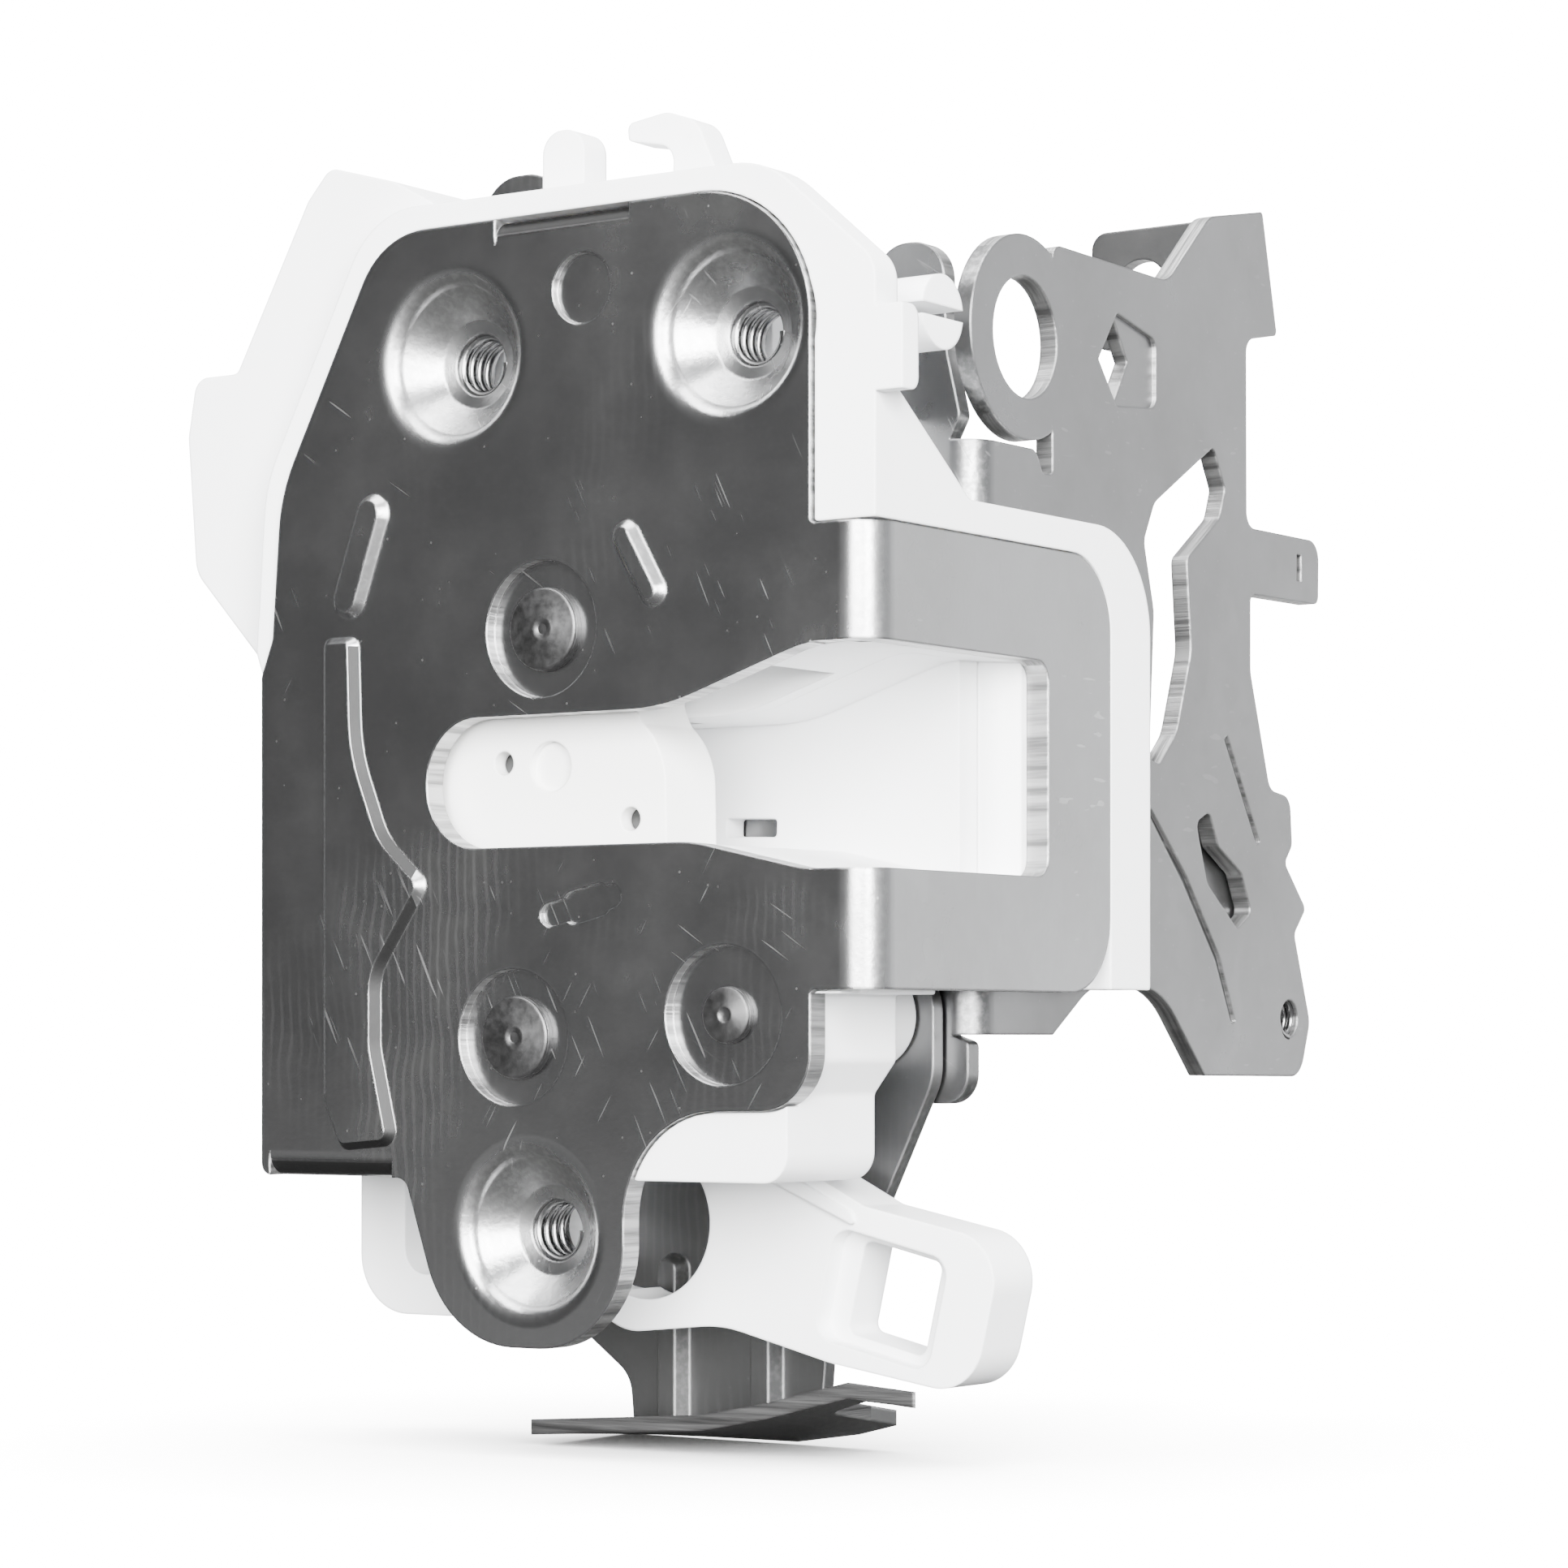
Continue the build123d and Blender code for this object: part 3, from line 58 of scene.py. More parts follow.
# %% [markdown]
# The camera stands level, turned 35 degrees to the face plate and a third of a metre away. Shifting
# the lens, instead of tilting the camera, keeps the uprights upright.

# %% Camera
scene = bpy.context.scene
view_turn = radians(34.62)
bpy.ops.object.camera_add(location=(0.21107, -0.26663, -0.0204), rotation=(radians(90), 0, view_turn))
camera = bpy.context.object
camera.name = "camera"
camera.data.sensor_width = 36.0
camera.data.lens = 98.56
camera.data.shift_y = 0.1632
camera.data.clip_start = 0.01
camera.data.clip_end = 20.0
scene.camera = camera
print("camera at", tuple(round(v, 4) for v in camera.location))


# %% [markdown]
# The latch stands on white paper that sweeps up into a wall, as on a photographer's table, so there is
# no horizon behind it. A grid is bent by moving its points along a line and a quarter circle.

# %% Paper sweep
floor_z = cad_box[0][2] - 0.0001
paper_width, paper_length = 6.0, 3.4
flat_length, length_in_front, bend_radius = 1.9, 1.0, 0.5
bend_y = flat_length - length_in_front
bend_length = bend_radius * pi / 2
bpy.ops.mesh.primitive_grid_add(x_subdivisions=2, y_subdivisions=60, size=1.0)
paper_sweep = bpy.context.object
paper_sweep.name = "studio_sweep"
for vertex in paper_sweep.data.vertices:
    run = (vertex.co.y + 0.5) * paper_length
    past_flat = run - flat_length
    if past_flat < 0:
        y, z = run - length_in_front, 0.0
    elif past_flat < bend_length:
        angle = past_flat / bend_radius
        y, z = bend_y + bend_radius * sin(angle), bend_radius * (1 - cos(angle))
    else:
        y, z = bend_y + bend_radius, bend_radius + past_flat - bend_length
    vertex.co = Vector((vertex.co.x * paper_width, y, z + floor_z))
paper_sweep.data.transform(Matrix.Rotation(view_turn, 4, "Z"))
bpy.ops.object.shade_smooth()
print("paper at height", floor_z)


# %% [markdown]
# Bright metal shows what stands round it. A tall softbox at the right draws the white line down the
# bend, a wide one in front fills the mouldings, a large one above models them, and a weak one stands
# behind.

# %% Softboxes
def softbox(name, place, target, width, height, power):
    bpy.ops.object.light_add(type="AREA", location=place)
    light = bpy.context.object
    light.name = name
    light.data.shape = "RECTANGLE"
    light.data.size = width
    light.data.size_y = height
    light.data.energy = power
    aim = Vector(target) - Vector(place)
    light.rotation_euler = aim.to_track_quat("-Z", "Y").to_euler()


softbox("softbox_right", (0.95, -0.66, 0.22), (0, 0, 0), 0.40, 1.0, 70.0)
softbox("softbox_front", (0.42, -0.98, 0.30), (0, 0, 0), 0.7, 0.9, 74.0)
softbox("softbox_top", (-0.05, -0.15, 0.95), (0, 0, 0), 0.8, 0.8, 34.0)
softbox("softbox_back", (0.62, 1.0, 0.30), (0, 0.02, 0), 0.9, 0.9, 3.0)


# %% [markdown]
# A dark card at the left front, in the mirror direction of the face plate, keeps the plate a deep grey.
# Another on the table darkens what looks down: the tops of the drawn cups and the undersides of the
# mouldings. The camera sees neither of them, and neither casts a shadow.

# %% Dark cards
def dark_card(name, place, aim, width, height):
    bpy.ops.mesh.primitive_grid_add(x_subdivisions=2, y_subdivisions=2, size=1.0)
    card = bpy.context.object
    card.name = name
    turn = Vector(aim).to_track_quat("Z", "Y").to_matrix().to_4x4()
    card.data.transform(Matrix.Translation(place) @ turn @ Matrix.Diagonal((width, height, 1, 1)))
    card.visible_camera = False
    card.visible_shadow = False
    return card


above_paper = floor_z + 0.00004
cards = [dark_card("dark_card", (-0.52, -0.76, 0.35), (0.52, 0.76, 0.0), 2.2, 2.0),
         dark_card("dark_floor_card", (-0.20, -0.55, above_paper), (0, 0, 1), 2.0, 1.62)]
print("cards:", [card.name for card in cards])


# %% [markdown]
# The rest of the room is pale and even. It lights the part gently, and where the camera looks straight
# at it, it is as bright as burnt out paper.

# %% Room light
room_light, room_seen = 1.25, 14.0
world = bpy.data.worlds.new("studio")
scene.world = world
world.use_nodes = True
sky = world.node_tree.nodes["Background"]
sky.inputs["Color"].default_value = (0.96, 0.98, 1.0, 1)
seen_by = world.node_tree.nodes.new("ShaderNodeLightPath")
strength = world.node_tree.nodes.new("ShaderNodeMapRange")
strength.inputs["To Min"].default_value = room_light
strength.inputs["To Max"].default_value = room_seen
world.node_tree.links.new(seen_by.outputs["Is Camera Ray"], strength.inputs["Value"])
world.node_tree.links.new(strength.outputs["Result"], sky.inputs["Strength"])
print("room light", room_light, "and", room_seen, "to the camera")


# %% [markdown]
# Every finish is made of nodes. Small helpers add a node, do a sum, compare, stretch a value, blend two
# colours and read a noise, so that each material below is a short list of what is on the surface.

# %% Node helpers
def add_node(tree, kind, values=None, **settings):
    """Add a node with its settings. A value that is a socket is linked, any other is typed in."""
    made = tree.nodes.new(kind)
    for key, value in settings.items():
        setattr(made, key, value)
    for key, value in (values or {}).items():
        if isinstance(value, bpy.types.NodeSocket):
            tree.links.new(value, made.inputs[key])
        else:
            made.inputs[key].default_value = value
    return made


def calculate(tree, operation, first, second=0.0):
    return add_node(tree, "ShaderNodeMath", {0: first, 1: second}, operation=operation).outputs[0]


def multiply(tree, first, second):
    return calculate(tree, "MULTIPLY", first, second)


def above(tree, value, limit):
    return calculate(tree, "GREATER_THAN", value, limit)


def below(tree, value, limit):
    return calculate(tree, "LESS_THAN", value, limit)


def largest(tree, first, *others):
    for other in others:
        first = calculate(tree, "MAXIMUM", first, other)
    return first


def split_axes(tree, vector):
    return add_node(tree, "ShaderNodeSeparateXYZ", {0: vector}).outputs


def stretch_value(tree, value, low, high, out_low=0.0, out_high=1.0):
    """low becomes out_low, high becomes out_high, and nothing goes beyond the two."""
    ends = {"Value": value, "From Min": low, "From Max": high, "To Min": out_low, "To Max": out_high}
    return add_node(tree, "ShaderNodeMapRange", ends).outputs["Result"]


def grey(tone):
    return (min(1.0, tone),) * 3


def blend_colour(tree, factor, first, second):
    colours = [(*c, 1) if isinstance(c, tuple) else c for c in (first, second)]
    return add_node(tree, "ShaderNodeMix", {0: factor, 6: colours[0], 7: colours[1]},
                    data_type="RGBA").outputs[2]


def noise_value(tree, vector, scale, detail=3.0, roughness=0.55, stretch=(1, 1, 1), turn=(0, 0, 0)):
    """Space is turned before it is stretched, so that long marks can run in any direction."""
    turned = add_node(tree, "ShaderNodeMapping", {"Vector": vector, "Rotation": turn})
    mapped = add_node(tree, "ShaderNodeMapping", {"Vector": turned.outputs[0], "Scale": stretch})
    return add_node(tree, "ShaderNodeTexNoise", {"Vector": mapped.outputs[0], "Scale": scale,
                                                 "Detail": detail, "Roughness": roughness}).outputs["Fac"]


print("node helpers ready")


# %% [markdown]
# What several finishes share goes into a node group, which is built once and then placed like a node.

# %% Group helpers
FLOAT, VECTOR = "NodeSocketFloat", "NodeSocketVector"


def new_group(name, inputs, outputs):
    """Empty shader node group with named sockets; returns the group, its input and its output node."""
    group = bpy.data.node_groups.new(name, "ShaderNodeTree")
    for socket, kind in inputs:
        group.interface.new_socket(name=socket, in_out="INPUT", socket_type=kind)
    for socket, kind in outputs:
        group.interface.new_socket(name=socket, in_out="OUTPUT", socket_type=kind)
    return group, group.nodes.new("NodeGroupInput"), group.nodes.new("NodeGroupOutput")


def use_group(tree, group, values):
    return add_node(tree, "ShaderNodeGroup", values, node_tree=group).outputs


print("group helpers ready")


# %% [markdown]
# Handling marks are shared by all the plated sheet: wide smudges, a fine grain, long scratches in three
# directions, bright specks in the zinc and curved rub marks. Scratches and rub marks come in patches.

# %% Handling marks
marks, taken, given = new_group(
    "handling_marks", [("Vector", VECTOR)],
    [("Smudge", FLOAT), ("Grain", FLOAT), ("Scratches", FLOAT), ("Specks", FLOAT), ("Rubbing", FLOAT)])
place = taken.outputs["Vector"]
marks.links.new(noise_value(marks, place, 60, 5, 0.62), given.inputs["Smudge"])
marks.links.new(noise_value(marks, place, 2600, 3, 0.65), given.inputs["Grain"])

scratches = []
for direction, threshold in ((0.45, 0.70), (1.0, 0.72), (2.6, 0.73)):
    thin = noise_value(marks, place, 95, 1.0, 0.4, stretch=(34, 4, 1.6), turn=(0, direction, 0))
    line = stretch_value(marks, thin, threshold, threshold + 0.03)
    patch = noise_value(marks, place, 55, 1, 0.5, turn=(direction, direction, 0))
    scratches.append(multiply(marks, line, stretch_value(marks, patch, 0.56, 0.66)))
marks.links.new(largest(marks, *scratches), given.inputs["Scratches"])

cells = add_node(marks, "ShaderNodeTexVoronoi", {"Vector": place, "Scale": 1100.0}).outputs
dot = stretch_value(marks, cells["Distance"], 0.05, 0.14, 1.0, 0.0)
lot = add_node(marks, "ShaderNodeSeparateColor", {0: cells["Color"]}).outputs[0]
marks.links.new(multiply(marks, dot, stretch_value(marks, lot, 0.80, 0.95)), given.inputs["Specks"])

waves = add_node(marks, "ShaderNodeTexWave", {"Vector": place, "Scale": 330.0, "Distortion": 9.0,
                                              "Detail": 2.0, "Detail Scale": 0.35}).outputs["Fac"]
patch = stretch_value(marks, noise_value(marks, place, 38, 2, 0.5), 0.54, 0.64)
marks.links.new(multiply(marks, stretch_value(marks, waves, 0.60, 0.95), patch), given.inputs["Rubbing"])
print("group", marks.name, "puts out", [s.name for s in given.inputs if s.name])


# %% [markdown]
# Sheet that is drawn into a cup, a bead or a bend gets a coarse skin, as its crystals stretch apart, and
# painted glints, light specks in its colour. Faces that stay flat and square to the press keep the rolled
# finish, so the skin can be masked by how far the normal leans away from all three axes.

# %% Drawn skin
drawn, taken, given = new_group("drawn_skin", [("Vector", VECTOR), ("Normal", VECTOR)],
                                [("Mask", FLOAT), ("Skin", FLOAT)])
shares = [calculate(drawn, "ABSOLUTE", share) for share in split_axes(drawn, taken.outputs["Normal"])]
square_at, drawn_at = 0.985, 0.90
drawn.links.new(stretch_value(drawn, largest(drawn, *shares), square_at, drawn_at), given.inputs["Mask"])
drawn.links.new(noise_value(drawn, taken.outputs["Vector"], 1700, 2, 0.6), given.inputs["Skin"])
print("group", drawn.name)


# %% [markdown]
# A sheared edge is smooth where the punch entered, and torn into fine steps where the sheet broke. The
# steps run across the sheet, so they vary along the edge only: along Z on an upright edge, and along X
# on a level one. Each sheet piece says where its cut edges are, and the group gives the pattern.

# %% Sheared edge
sheared, taken, given = new_group("sheared_edge", [("Vector", VECTOR), ("Normal", VECTOR)],
                                  [("Steps", FLOAT)])
place, slow = taken.outputs["Vector"], 0.04
upright = noise_value(sheared, place, 1500, 3, 0.6, stretch=(slow, slow, 1))
level = noise_value(sheared, place, 1500, 3, 0.6, stretch=(1, slow, slow))
rise = calculate(sheared, "ABSOLUTE", split_axes(sheared, taken.outputs["Normal"])["Z"])
is_level = stretch_value(sheared, rise, 0.55, 0.75)
is_upright = calculate(sheared, "SUBTRACT", 1.0, is_level)
steps = calculate(sheared, "ADD", multiply(sheared, level, is_level),
                  multiply(sheared, upright, is_upright))
sheared.links.new(stretch_value(sheared, steps, 0.36, 0.62), given.inputs["Steps"])
print("group", sheared.name)


# %% [markdown]
# No real edge is sharp. The Bevel node rounds the shading of an edge without new faces, and the Bump
# node presses the marks into it. Every finish of the latch ends in this group.

# %% Soft edge
soft_edge, taken, given = new_group(
    "soft_edge", [("Height", FLOAT), ("Strength", FLOAT), ("Depth", FLOAT), ("Radius", FLOAT)],
    [("Normal", VECTOR)])
rounded = add_node(soft_edge, "ShaderNodeBevel", {"Radius": taken.outputs["Radius"]}, samples=4)
pressed = add_node(soft_edge, "ShaderNodeBump", {"Height": taken.outputs["Height"],
                                                 "Strength": taken.outputs["Strength"],
                                                 "Distance": taken.outputs["Depth"],
                                                 "Normal": rounded.outputs[0]})
soft_edge.links.new(pressed.outputs[0], given.inputs["Normal"])
print("group", soft_edge.name)


# %% [markdown]
# A moulding shows faint flow lines from its gate, dust on its skin and the fine texture of the tool.

# %% Moulded skin
moulded, taken, given = new_group("moulded_skin", [("Vector", VECTOR)],
                                  [("Flow", FLOAT), ("Dust", FLOAT), ("Texture", FLOAT)])
place = taken.outputs["Vector"]
moulded.links.new(noise_value(moulded, place, 42, 4, 0.6, stretch=(1, 1, 0.5)), given.inputs["Flow"])
moulded.links.new(stretch_value(moulded, noise_value(moulded, place, 420, 5, 0.7), 0.64, 0.80),
                  given.inputs["Dust"])
moulded.links.new(noise_value(moulded, place, 1900, 2, 0.5), given.inputs["Texture"])
print("group", moulded.name)


# %% [markdown]
# A material starts from its shader and the place and normal of the surface in the object's own frame,
# so no pattern slides when the camera moves or a lever turns.

# %% Start and end of a material
def new_material(name):
    material = bpy.data.materials.new(name)
    material.use_nodes = True
    tree = material.node_tree
    coords = add_node(tree, "ShaderNodeTexCoord").outputs
    return material, tree, tree.nodes["Principled BSDF"], coords["Object"], coords["Normal"]


def finish_surface(tree, shader, height, strength, depth, radius):
    """Press the height into the surface, to a depth in metres, and round the edges by a radius."""
    normal = use_group(tree, soft_edge, {"Height": height, "Strength": strength, "Depth": depth,
                                         "Radius": radius})["Normal"]
    tree.links.new(normal, shader.inputs["Normal"])


print("materials start from object coordinates")


# %% [markdown]
# Where the cut edges are depends on how the sheet lies. They are the faces whose normal lies in the
# plane of the sheet, and beyond a bend that plane has turned. The bends are told by place, in metres.

# %% Cut edges of the face plate
plate_bend_x, plate_back_y, flange_y = 0.0319, 0.00205, 0.004


def small_share(tree, share, limit=0.3):
    """1 where a normal hardly points along an axis, else 0."""
    return below(tree, calculate(tree, "ABSOLUTE", share), limit)


def large_share(tree, share, limit=0.8):
    """1 where a normal points nearly along an axis, else 0."""
    return above(tree, calculate(tree, "ABSOLUTE", share), limit)


def cut_edges_of_plate(tree, place, normal):
    spot, lean = split_axes(tree, place), split_axes(tree, normal)
    flat = multiply(tree, below(tree, spot["X"], plate_bend_x), below(tree, spot["Y"], plate_back_y))
    front = multiply(tree, flat, small_share(tree, lean["Y"], 0.25))
    ends_of_flange = large_share(tree, lean["Z"])
    rear_of_flange = multiply(tree, above(tree, spot["Y"], flange_y), large_share(tree, lean["Y"]))
    side = multiply(tree, above(tree, spot["X"], plate_bend_x),
                    largest(tree, ends_of_flange, rear_of_flange))
    return largest(tree, front, side)


print("face plate bends at x =", plate_bend_x)


# %% [markdown]
# The bracket has a side plate and a back plate. On the opening lever only the foot shows torn edges,
# and the inside lever is a flat plate that lies across X.

# %% Cut edges of the bracket and the levers
side_plate_x, side_plate_y, back_plate_x = 0.0283, 0.0252, 0.0272
foot_top_z, foot_back_y = -0.0455, 0.0186


def cut_edges_of_bracket(tree, place, normal):
    spot, lean = split_axes(tree, place), split_axes(tree, normal)
    side = multiply(tree, above(tree, spot["X"], side_plate_x), above(tree, spot["Y"], side_plate_y))
    back = below(tree, spot["X"], back_plate_x)
    return largest(tree, multiply(tree, side, small_share(tree, lean["X"])),
                   multiply(tree, back, small_share(tree, lean["Y"])))


def cut_edges_of_lever(tree, place, normal):
    spot, lean = split_axes(tree, place), split_axes(tree, normal)
    foot = multiply(tree, below(tree, spot["Z"], foot_top_z), below(tree, spot["Y"], foot_back_y))
    return multiply(tree, foot, small_share(tree, lean["Z"], 0.5))


def cut_edges_of_inside_lever(tree, place, normal):
    return small_share(tree, split_axes(tree, normal)["X"])


print("cut edges told apart by place and normal")


# %% [markdown]
# Zinc plated sheet is a grey metal whose roughness changes with the smudges. The marks are lighter than
# the sheet, drawn skin gets painted glints, the walls of the pad and the tab get painted shade, and the
# sheared edges are dull and stepped.

# %% Zinc plated sheet
def zinc_sheet(name, tone, dull, cut_edges, edge_tone=0.30, painted_glint_share=0.5, rough_shaded_walls=None):
    """tone and dull are brightness and roughness; rough_shaded_walls picks rougher walls in painted shade."""
    material, tree, shader, place, normal = new_material(name)
    mark = use_group(tree, marks, {"Vector": place})
    skin = use_group(tree, drawn, {"Vector": place, "Normal": normal})
    steps = use_group(tree, sheared, {"Vector": place, "Normal": normal})["Steps"]
    edges = cut_edges(tree, place, normal)
    walls = None if rough_shaded_walls is None else multiply(tree, rough_shaded_walls(tree, place), skin["Mask"])
    lines = largest(tree, mark["Scratches"], multiply(tree, mark["Rubbing"], 0.22))
    bright = largest(tree, lines, multiply(tree, mark["Specks"], 0.9))

    # Colour: clouds in the zinc, bright marks, painted glints on drawn sheet, painted wall shade, torn edges
    clouds = stretch_value(tree, mark["Smudge"], 0.32, 0.70)
    colour = blend_colour(tree, clouds, (tone, tone * 1.005, tone * 1.015), grey(tone * 0.86))
    colour = blend_colour(tree, multiply(tree, bright, 0.28), colour, grey(tone * 2.1))
    # painted glints: light specks in the colour of drawn sheet
    painted_glints = multiply(tree, skin["Mask"], stretch_value(tree, skin["Skin"], 0.42, 0.66))
    colour = blend_colour(tree, multiply(tree, painted_glints, painted_glint_share), colour, grey(tone * 2.4))
    # painted shade: the walls of the pad and the tab are painted nearly black
    if walls is not None:
        colour = blend_colour(tree, walls, colour, grey(tone * 0.10))
    torn = blend_colour(tree, steps, grey(edge_tone * 0.55), grey(edge_tone * 1.5))
    tree.links.new(blend_colour(tree, edges, colour, torn), shader.inputs["Base Color"])

    # Roughness: smudges and marks add to it; edges and the walls in painted shade have at least their own
    rough = stretch_value(tree, mark["Smudge"], 0.3, 0.7, dull - 0.04, dull + 0.10)
    rough = calculate(tree, "ADD", rough, multiply(tree, bright, 0.16))
    rough = calculate(tree, "ADD", rough, multiply(tree, skin["Mask"], 0.05))
    rough = largest(tree, rough, multiply(tree, edges, 0.48))
    if walls is not None:
        rough = largest(tree, rough, multiply(tree, walls, 0.55))
    tree.links.new(rough, shader.inputs["Roughness"])
    shader.inputs["Metallic"].default_value = 1.0

    # Relief: a faint grain, scratches cut in, the drawn skin raised and the steps of the torn edges
    height = calculate(tree, "SUBTRACT", multiply(tree, mark["Grain"], 0.25), multiply(tree, lines, 0.22))
    coarse = multiply(tree, skin["Mask"], skin["Skin"])
    height = calculate(tree, "ADD", height, multiply(tree, coarse, 1.5))
    height = calculate(tree, "ADD", height, multiply(tree, edges, multiply(tree, steps, 3.0)))
    finish_surface(tree, shader, height, strength=0.30, depth=0.00004, radius=0.0003)
    return material


def wall_of_the_pad(tree, place):
    """The long pad at the left and the tab on top were pressed lightly; their walls get painted shade."""
    pad_right_x, pad_top_z, tab_right_x, tab_low_z = -0.0088, 0.0115, 0.0140, 0.0420
    spot = split_axes(tree, place)
    pad = multiply(tree, below(tree, spot["X"], pad_right_x), below(tree, spot["Z"], pad_top_z))
    tab = multiply(tree, below(tree, spot["X"], tab_right_x), above(tree, spot["Z"], tab_low_z))
    return largest(tree, pad, tab)


plate_zinc = zinc_sheet("plate_zinc", 0.32, 0.20, cut_edges_of_plate, painted_glint_share=0.12,
                        rough_shaded_walls=wall_of_the_pad)
bracket_zinc = zinc_sheet("bracket_zinc", 0.19, 0.30, cut_edges_of_bracket, edge_tone=0.24)
lever_zinc = zinc_sheet("lever_zinc", 0.22, 0.32, cut_edges_of_lever, edge_tone=0.13, painted_glint_share=0.2)
inside_zinc = zinc_sheet("inside_zinc", 0.20, 0.30, cut_edges_of_inside_lever, edge_tone=0.24)
print("sheet finishes:", plate_zinc.name, bracket_zinc.name, lever_zinc.name, inside_zinc.name)


# %% [markdown]
# Pins, threads, wire, screws and blanked plates are plain metal with a fine grain and faint stains. One
# function makes them all, each with its own tone and roughness.

# %% Plain steel
def plain_steel(name, tone, rough, grain_scale=900.0, radius=0.0002):
    material, tree, shader, place, normal = new_material(name)
    grain = noise_value(tree, place, grain_scale, 4, 0.6)
    stain = stretch_value(tree, noise_value(tree, place, 260, 4, 0.6), 0.35, 0.65)
    colour = blend_colour(tree, stain, (tone, tone, tone * 1.01), grey(tone * 0.72))
    tree.links.new(colour, shader.inputs["Base Color"])
    tree.links.new(stretch_value(tree, grain, 0.3, 0.7, rough - 0.08, rough + 0.08),
                   shader.inputs["Roughness"])
    shader.inputs["Metallic"].default_value = 1.0
    finish_surface(tree, shader, grain, strength=0.2, depth=0.00003, radius=radius)
    return material


rivet_steel = plain_steel("rivet_steel", 0.12, 0.42, 1300.0)
thread_steel = plain_steel("thread_steel", 0.26, 0.22, 1500.0, 0.00008)
blanked_steel = plain_steel("blanked_steel", 0.09, 0.45, 1500.0)
spring_wire = plain_steel("spring_wire", 0.35, 0.3)
screw_steel = plain_steel("screw_steel", 0.30, 0.35)
can_nickel = plain_steel("can_nickel", 0.60, 0.25)
print("plain steels:", [m.name for m in bpy.data.materials if "steel" in m.name])


# %% [markdown]
# The white mouldings let a little light in, which softens their shading. Their colour is a light grey
# that the studio light lifts to white, so that the hollows still read. Rubber is dark and matt.

# %% White mouldings and rubber
def moulding(name, colour, shade, rough=0.40, radius=0.0003):
    material, tree, shader, place, normal = new_material(name)
    skin = use_group(tree, moulded, {"Vector": place})
    tone = blend_colour(tree, stretch_value(tree, skin["Flow"], 0.3, 0.7), colour, shade)
    dusty = tuple(c * 0.62 for c in shade)
    tone = blend_colour(tree, multiply(tree, skin["Dust"], 0.22), tone, dusty)
    tree.links.new(tone, shader.inputs["Base Color"])
    tree.links.new(stretch_value(tree, skin["Flow"], 0.3, 0.7, rough - 0.06, rough + 0.08),
                   shader.inputs["Roughness"])
    shader.inputs["Subsurface Weight"].default_value = 0.10
    shader.inputs["Subsurface Radius"].default_value = (1.0, 0.95, 0.85)
    shader.inputs["Subsurface Scale"].default_value = 0.0007
    shader.inputs["IOR"].default_value = 1.48
    finish_surface(tree, shader, skin["Texture"], strength=0.15, depth=0.00002, radius=radius)
    return material


def rubber(name):
    material, tree, shader, place, normal = new_material(name)
    fine = noise_value(tree, place, 1200, 4, 0.6)
    tree.links.new(blend_colour(tree, fine, (0.02, 0.02, 0.021), grey(0.045)), shader.inputs["Base Color"])
    tree.links.new(stretch_value(tree, fine, 0.3, 0.7, 0.6, 0.8), shader.inputs["Roughness"])
    finish_surface(tree, shader, fine, strength=0.3, depth=0.00004, radius=0.0002)
    return material


white_moulding = moulding("white_moulding", (0.86, 0.865, 0.87), (0.815, 0.82, 0.825))
ivory_moulding = moulding("ivory_moulding", (0.87, 0.87, 0.86), (0.83, 0.83, 0.815), 0.34)
buffer_rubber = rubber("buffer_rubber")
print("mouldings:", white_moulding.name, ivory_moulding.name, "rubber:", buffer_rubber.name)


# %% [markdown]
# Paper under strong studio lamps burns out to white in a photograph. Here it glows for the camera alone,
# so that it lights nothing, and it glows less where something stands close above it: a painted shadow.
# The cards are nearly black.

# %% Paper and card
def studio_paper(name, tone, glow):
    material, tree, shader, place, normal = new_material(name)
    fine = noise_value(tree, place, 3, 2)
    tree.links.new(blend_colour(tree, fine, grey(tone), grey(tone * 0.98)), shader.inputs["Base Color"])
    shader.inputs["Roughness"].default_value = 0.9
    shader.inputs["Emission Color"].default_value = (1, 1, 1, 1)
    shade_reach, shade_depth = 0.055, 2.2
    open_sky = add_node(tree, "ShaderNodeAmbientOcclusion", {"Distance": shade_reach}, samples=8).outputs["AO"]
    seen = add_node(tree, "ShaderNodeLightPath").outputs["Is Camera Ray"]
    # painted shadow: ambient occlusion dims the camera glow close under the latch
    painted_shadow_glow = multiply(tree, seen, calculate(tree, "POWER", open_sky, shade_depth))
    tree.links.new(multiply(tree, painted_shadow_glow, glow), shader.inputs["Emission Strength"])
    return material


paper_sweep.data.materials.append(studio_paper("studio_paper", 0.90, 14.0))
card_black = studio_paper("card_black", 0.03, 0.0)
for card in cards:
    card.data.materials.append(card_black)
print("paper glows, cards are black")


# %% [markdown]
# Each CAD node keeps its mesh and takes the finish of the real piece.

# %% Finishes of the CAD nodes
finishes = {
    plate_zinc: ["face_plate"],
    bracket_zinc: ["bracket"],
    lever_zinc: ["open_lever"],
    inside_zinc: ["inside_lever"],
    white_moulding: ["housing", "rear_housing", "lock_bush", "spacer_sleeve", "drive_lid", "lock_lever"],
    ivory_moulding: ["claw_jacket", "pawl_cover"],
    blanked_steel: ["claw_core", "pawl_core"],
    rivet_steel: ["claw_pin", "pawl_pin", "spacer_rivet", "inside_rivet", "pawl_tail_pin"],
    screw_steel: ["drive_lid_screws"],
    spring_wire: ["claw_spring"],
    can_nickel: ["lock_motor"],
    buffer_rubber: ["striker_buffer", "claw_stop", "pawl_stop"]}
for material, names in finishes.items():
    for name in names:
        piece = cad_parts[name]
        piece.data.materials.clear()
        piece.data.materials.append(material)
dressed = {name for names in finishes.values() for name in names}
print("dressed", len(dressed), "nodes, left over:", sorted(set(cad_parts) - dressed))


# %% [markdown]
# The pieces made here end alike. Their place goes into the mesh, the faces are turned outwards and
# shaded smooth up to an angle, and a body takes them along.

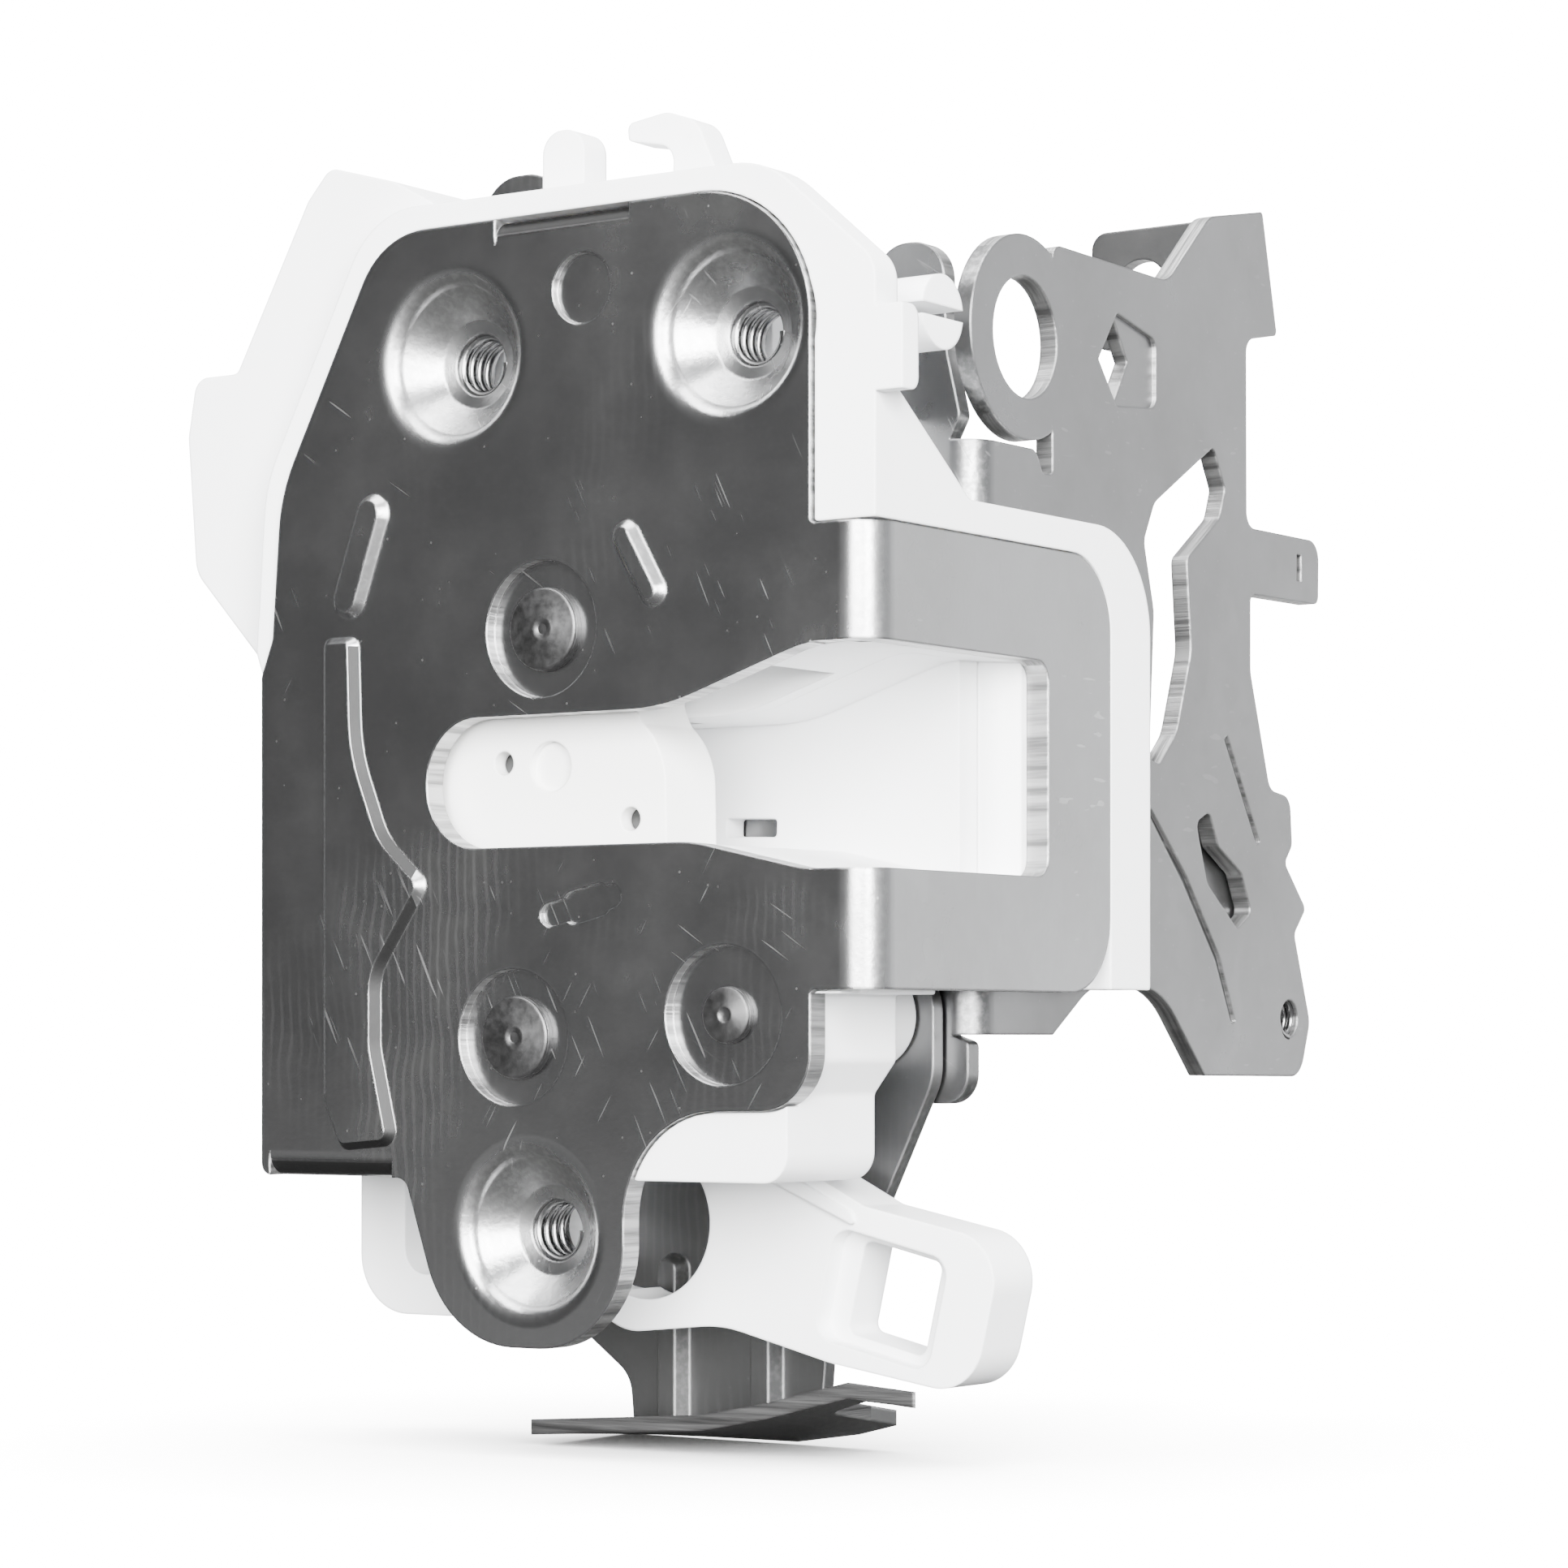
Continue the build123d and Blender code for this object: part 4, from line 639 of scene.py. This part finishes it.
# %% End of a made piece
def close_and_place(piece, body, material, angle=40):
    """Apply the place, point the faces outwards, shade and hand over to a body."""
    bpy.ops.object.transform_apply(location=True, rotation=True, scale=True)
    bpy.ops.object.mode_set(mode="EDIT")
    bpy.ops.mesh.select_all(action="SELECT")
    bpy.ops.mesh.normals_make_consistent(inside=False)
    bpy.ops.object.mode_set(mode="OBJECT")
    bpy.ops.object.shade_smooth_by_angle(angle=radians(angle))
    piece.data.materials.clear()
    piece.data.materials.append(material)
    piece.select_set(False)
    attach(piece, body)


def metres(*millimetres):
    return tuple(v / 1000 for v in millimetres)


print("made pieces are placed in metres")


# %% [markdown]
# The three cups and one hole far back in the side of the bracket are tapped. A thread is one small
# section wound round the hole: a circle of eight points is squeezed to the thread's depth and pitch, so
# that its crest is round and catches the light. The Screw modifier winds it, and the ends are closed.
# The outer half lies in the wall.

# %% Tapped threads
def tapped_thread(name, start, rotation, bore, depth, pitch, turns=4):
    """Thread of a hole; start, bore radius, depth and pitch are in millimetres."""
    half_height, weld = 0.49 * pitch, 0.000002
    bpy.ops.mesh.primitive_circle_add(vertices=8, radius=1.0, fill_type="NGON", location=(0, 0, 0),
                                      rotation=(pi / 2, 0, 0))
    piece = bpy.context.object
    piece.name = name
    piece.scale = (*metres(depth, half_height), 1)
    piece.location = metres(bore, 0, 0)
    bpy.ops.object.transform_apply(location=True, rotation=True, scale=True)
    coil = piece.modifiers.new("wind", "SCREW")
    coil.axis = "Z"
    coil.angle = 2 * pi
    coil.screw_offset = pitch / 1000
    coil.iterations = turns
    coil.steps = coil.render_steps = 36
    bpy.ops.object.modifier_apply(modifier="wind")
    bpy.ops.object.mode_set(mode="EDIT")
    bpy.ops.mesh.select_all(action="SELECT")
    bpy.ops.mesh.remove_doubles(threshold=weld)
    bpy.ops.mesh.select_all(action="DESELECT")
    bpy.ops.mesh.select_non_manifold(extend=False)
    bpy.ops.mesh.edge_face_add()
    bpy.ops.object.mode_set(mode="OBJECT")
    piece.location = metres(*start)
    piece.rotation_euler = rotation
    close_and_place(piece, "root", thread_steel, 60)
    return piece


into_door, to_the_right = (radians(-90), 0, 0), (0, radians(90), 0)
threads = [tapped_thread(f"thread_{spot}", (x, 4.15, z), into_door, bore=2.5, depth=0.46, pitch=1.0)
           for spot, x, z in (("top_left", -5.2, 33.9), ("top_right", 21.8, 33.9), ("low", 2.5, -35.5))]
threads.append(tapped_thread("thread_side", (27.0, 75.2, -18.5), to_the_right, bore=1.65, depth=0.30,
                             pitch=0.7))
print("threads:", [(t.name, len(t.data.polygons)) for t in threads])


# %% [markdown]
# A riveted pin end is a flat disc with a rounded rim and a small punch mark in the middle. It starts
# as a filled circle, and each ring is made by moving the face along the axis and resizing it.

# %% Riveted pin ends
def riveted_end(name, centre, rings):
    """Rings of (radius, depth behind the plate's face) in millimetres, from the rim to the middle."""
    radius, depth = rings[0]
    x, z = centre
    bpy.ops.mesh.primitive_circle_add(vertices=48, radius=radius / 1000, fill_type="NGON",
                                      location=metres(x, depth, z), rotation=(pi / 2, 0, 0))
    piece = bpy.context.object
    piece.name = name
    bpy.ops.object.transform_apply(location=True, rotation=True, scale=True)
    bpy.ops.object.mode_set(mode="EDIT")
    bpy.ops.mesh.select_all(action="SELECT")
    for next_radius, next_depth in rings[1:]:
        move = metres(0, next_depth - depth, 0)
        bpy.ops.mesh.extrude_region_move(TRANSFORM_OT_translate={"value": move})
        grow = next_radius / radius
        bpy.ops.transform.resize(value=(grow, 1, grow), center_override=metres(x, next_depth, z))
        radius, depth = next_radius, next_depth
    bpy.ops.object.mode_set(mode="OBJECT")
    close_and_place(piece, "root", rivet_steel)
    return piece


pin_end = [(3.26, 0.60), (3.26, 0.24), (3.20, 0.14), (3.06, 0.09), (1.02, 0.09), (0.96, 0.06),
           (0.80, 0.05), (0.70, 0.10), (0.42, 0.14), (0.34, 0.22), (0.05, 0.24)]
spacer_end = [(2.16, 0.55), (2.14, 0.30), (2.0, 0.20), (0.80, 0.18), (0.74, 0.14), (0.60, 0.14),
              (0.50, 0.24), (0.05, 0.28)]
ends = [riveted_end("claw_rivet_end", (3.8, 11.9), pin_end),
        riveted_end("pawl_rivet_end", (1.0, -20.2), pin_end),
        riveted_end("spacer_rivet_end", (21.35, -18.5), spacer_end)]
print("riveted ends:", [e.name for e in ends])
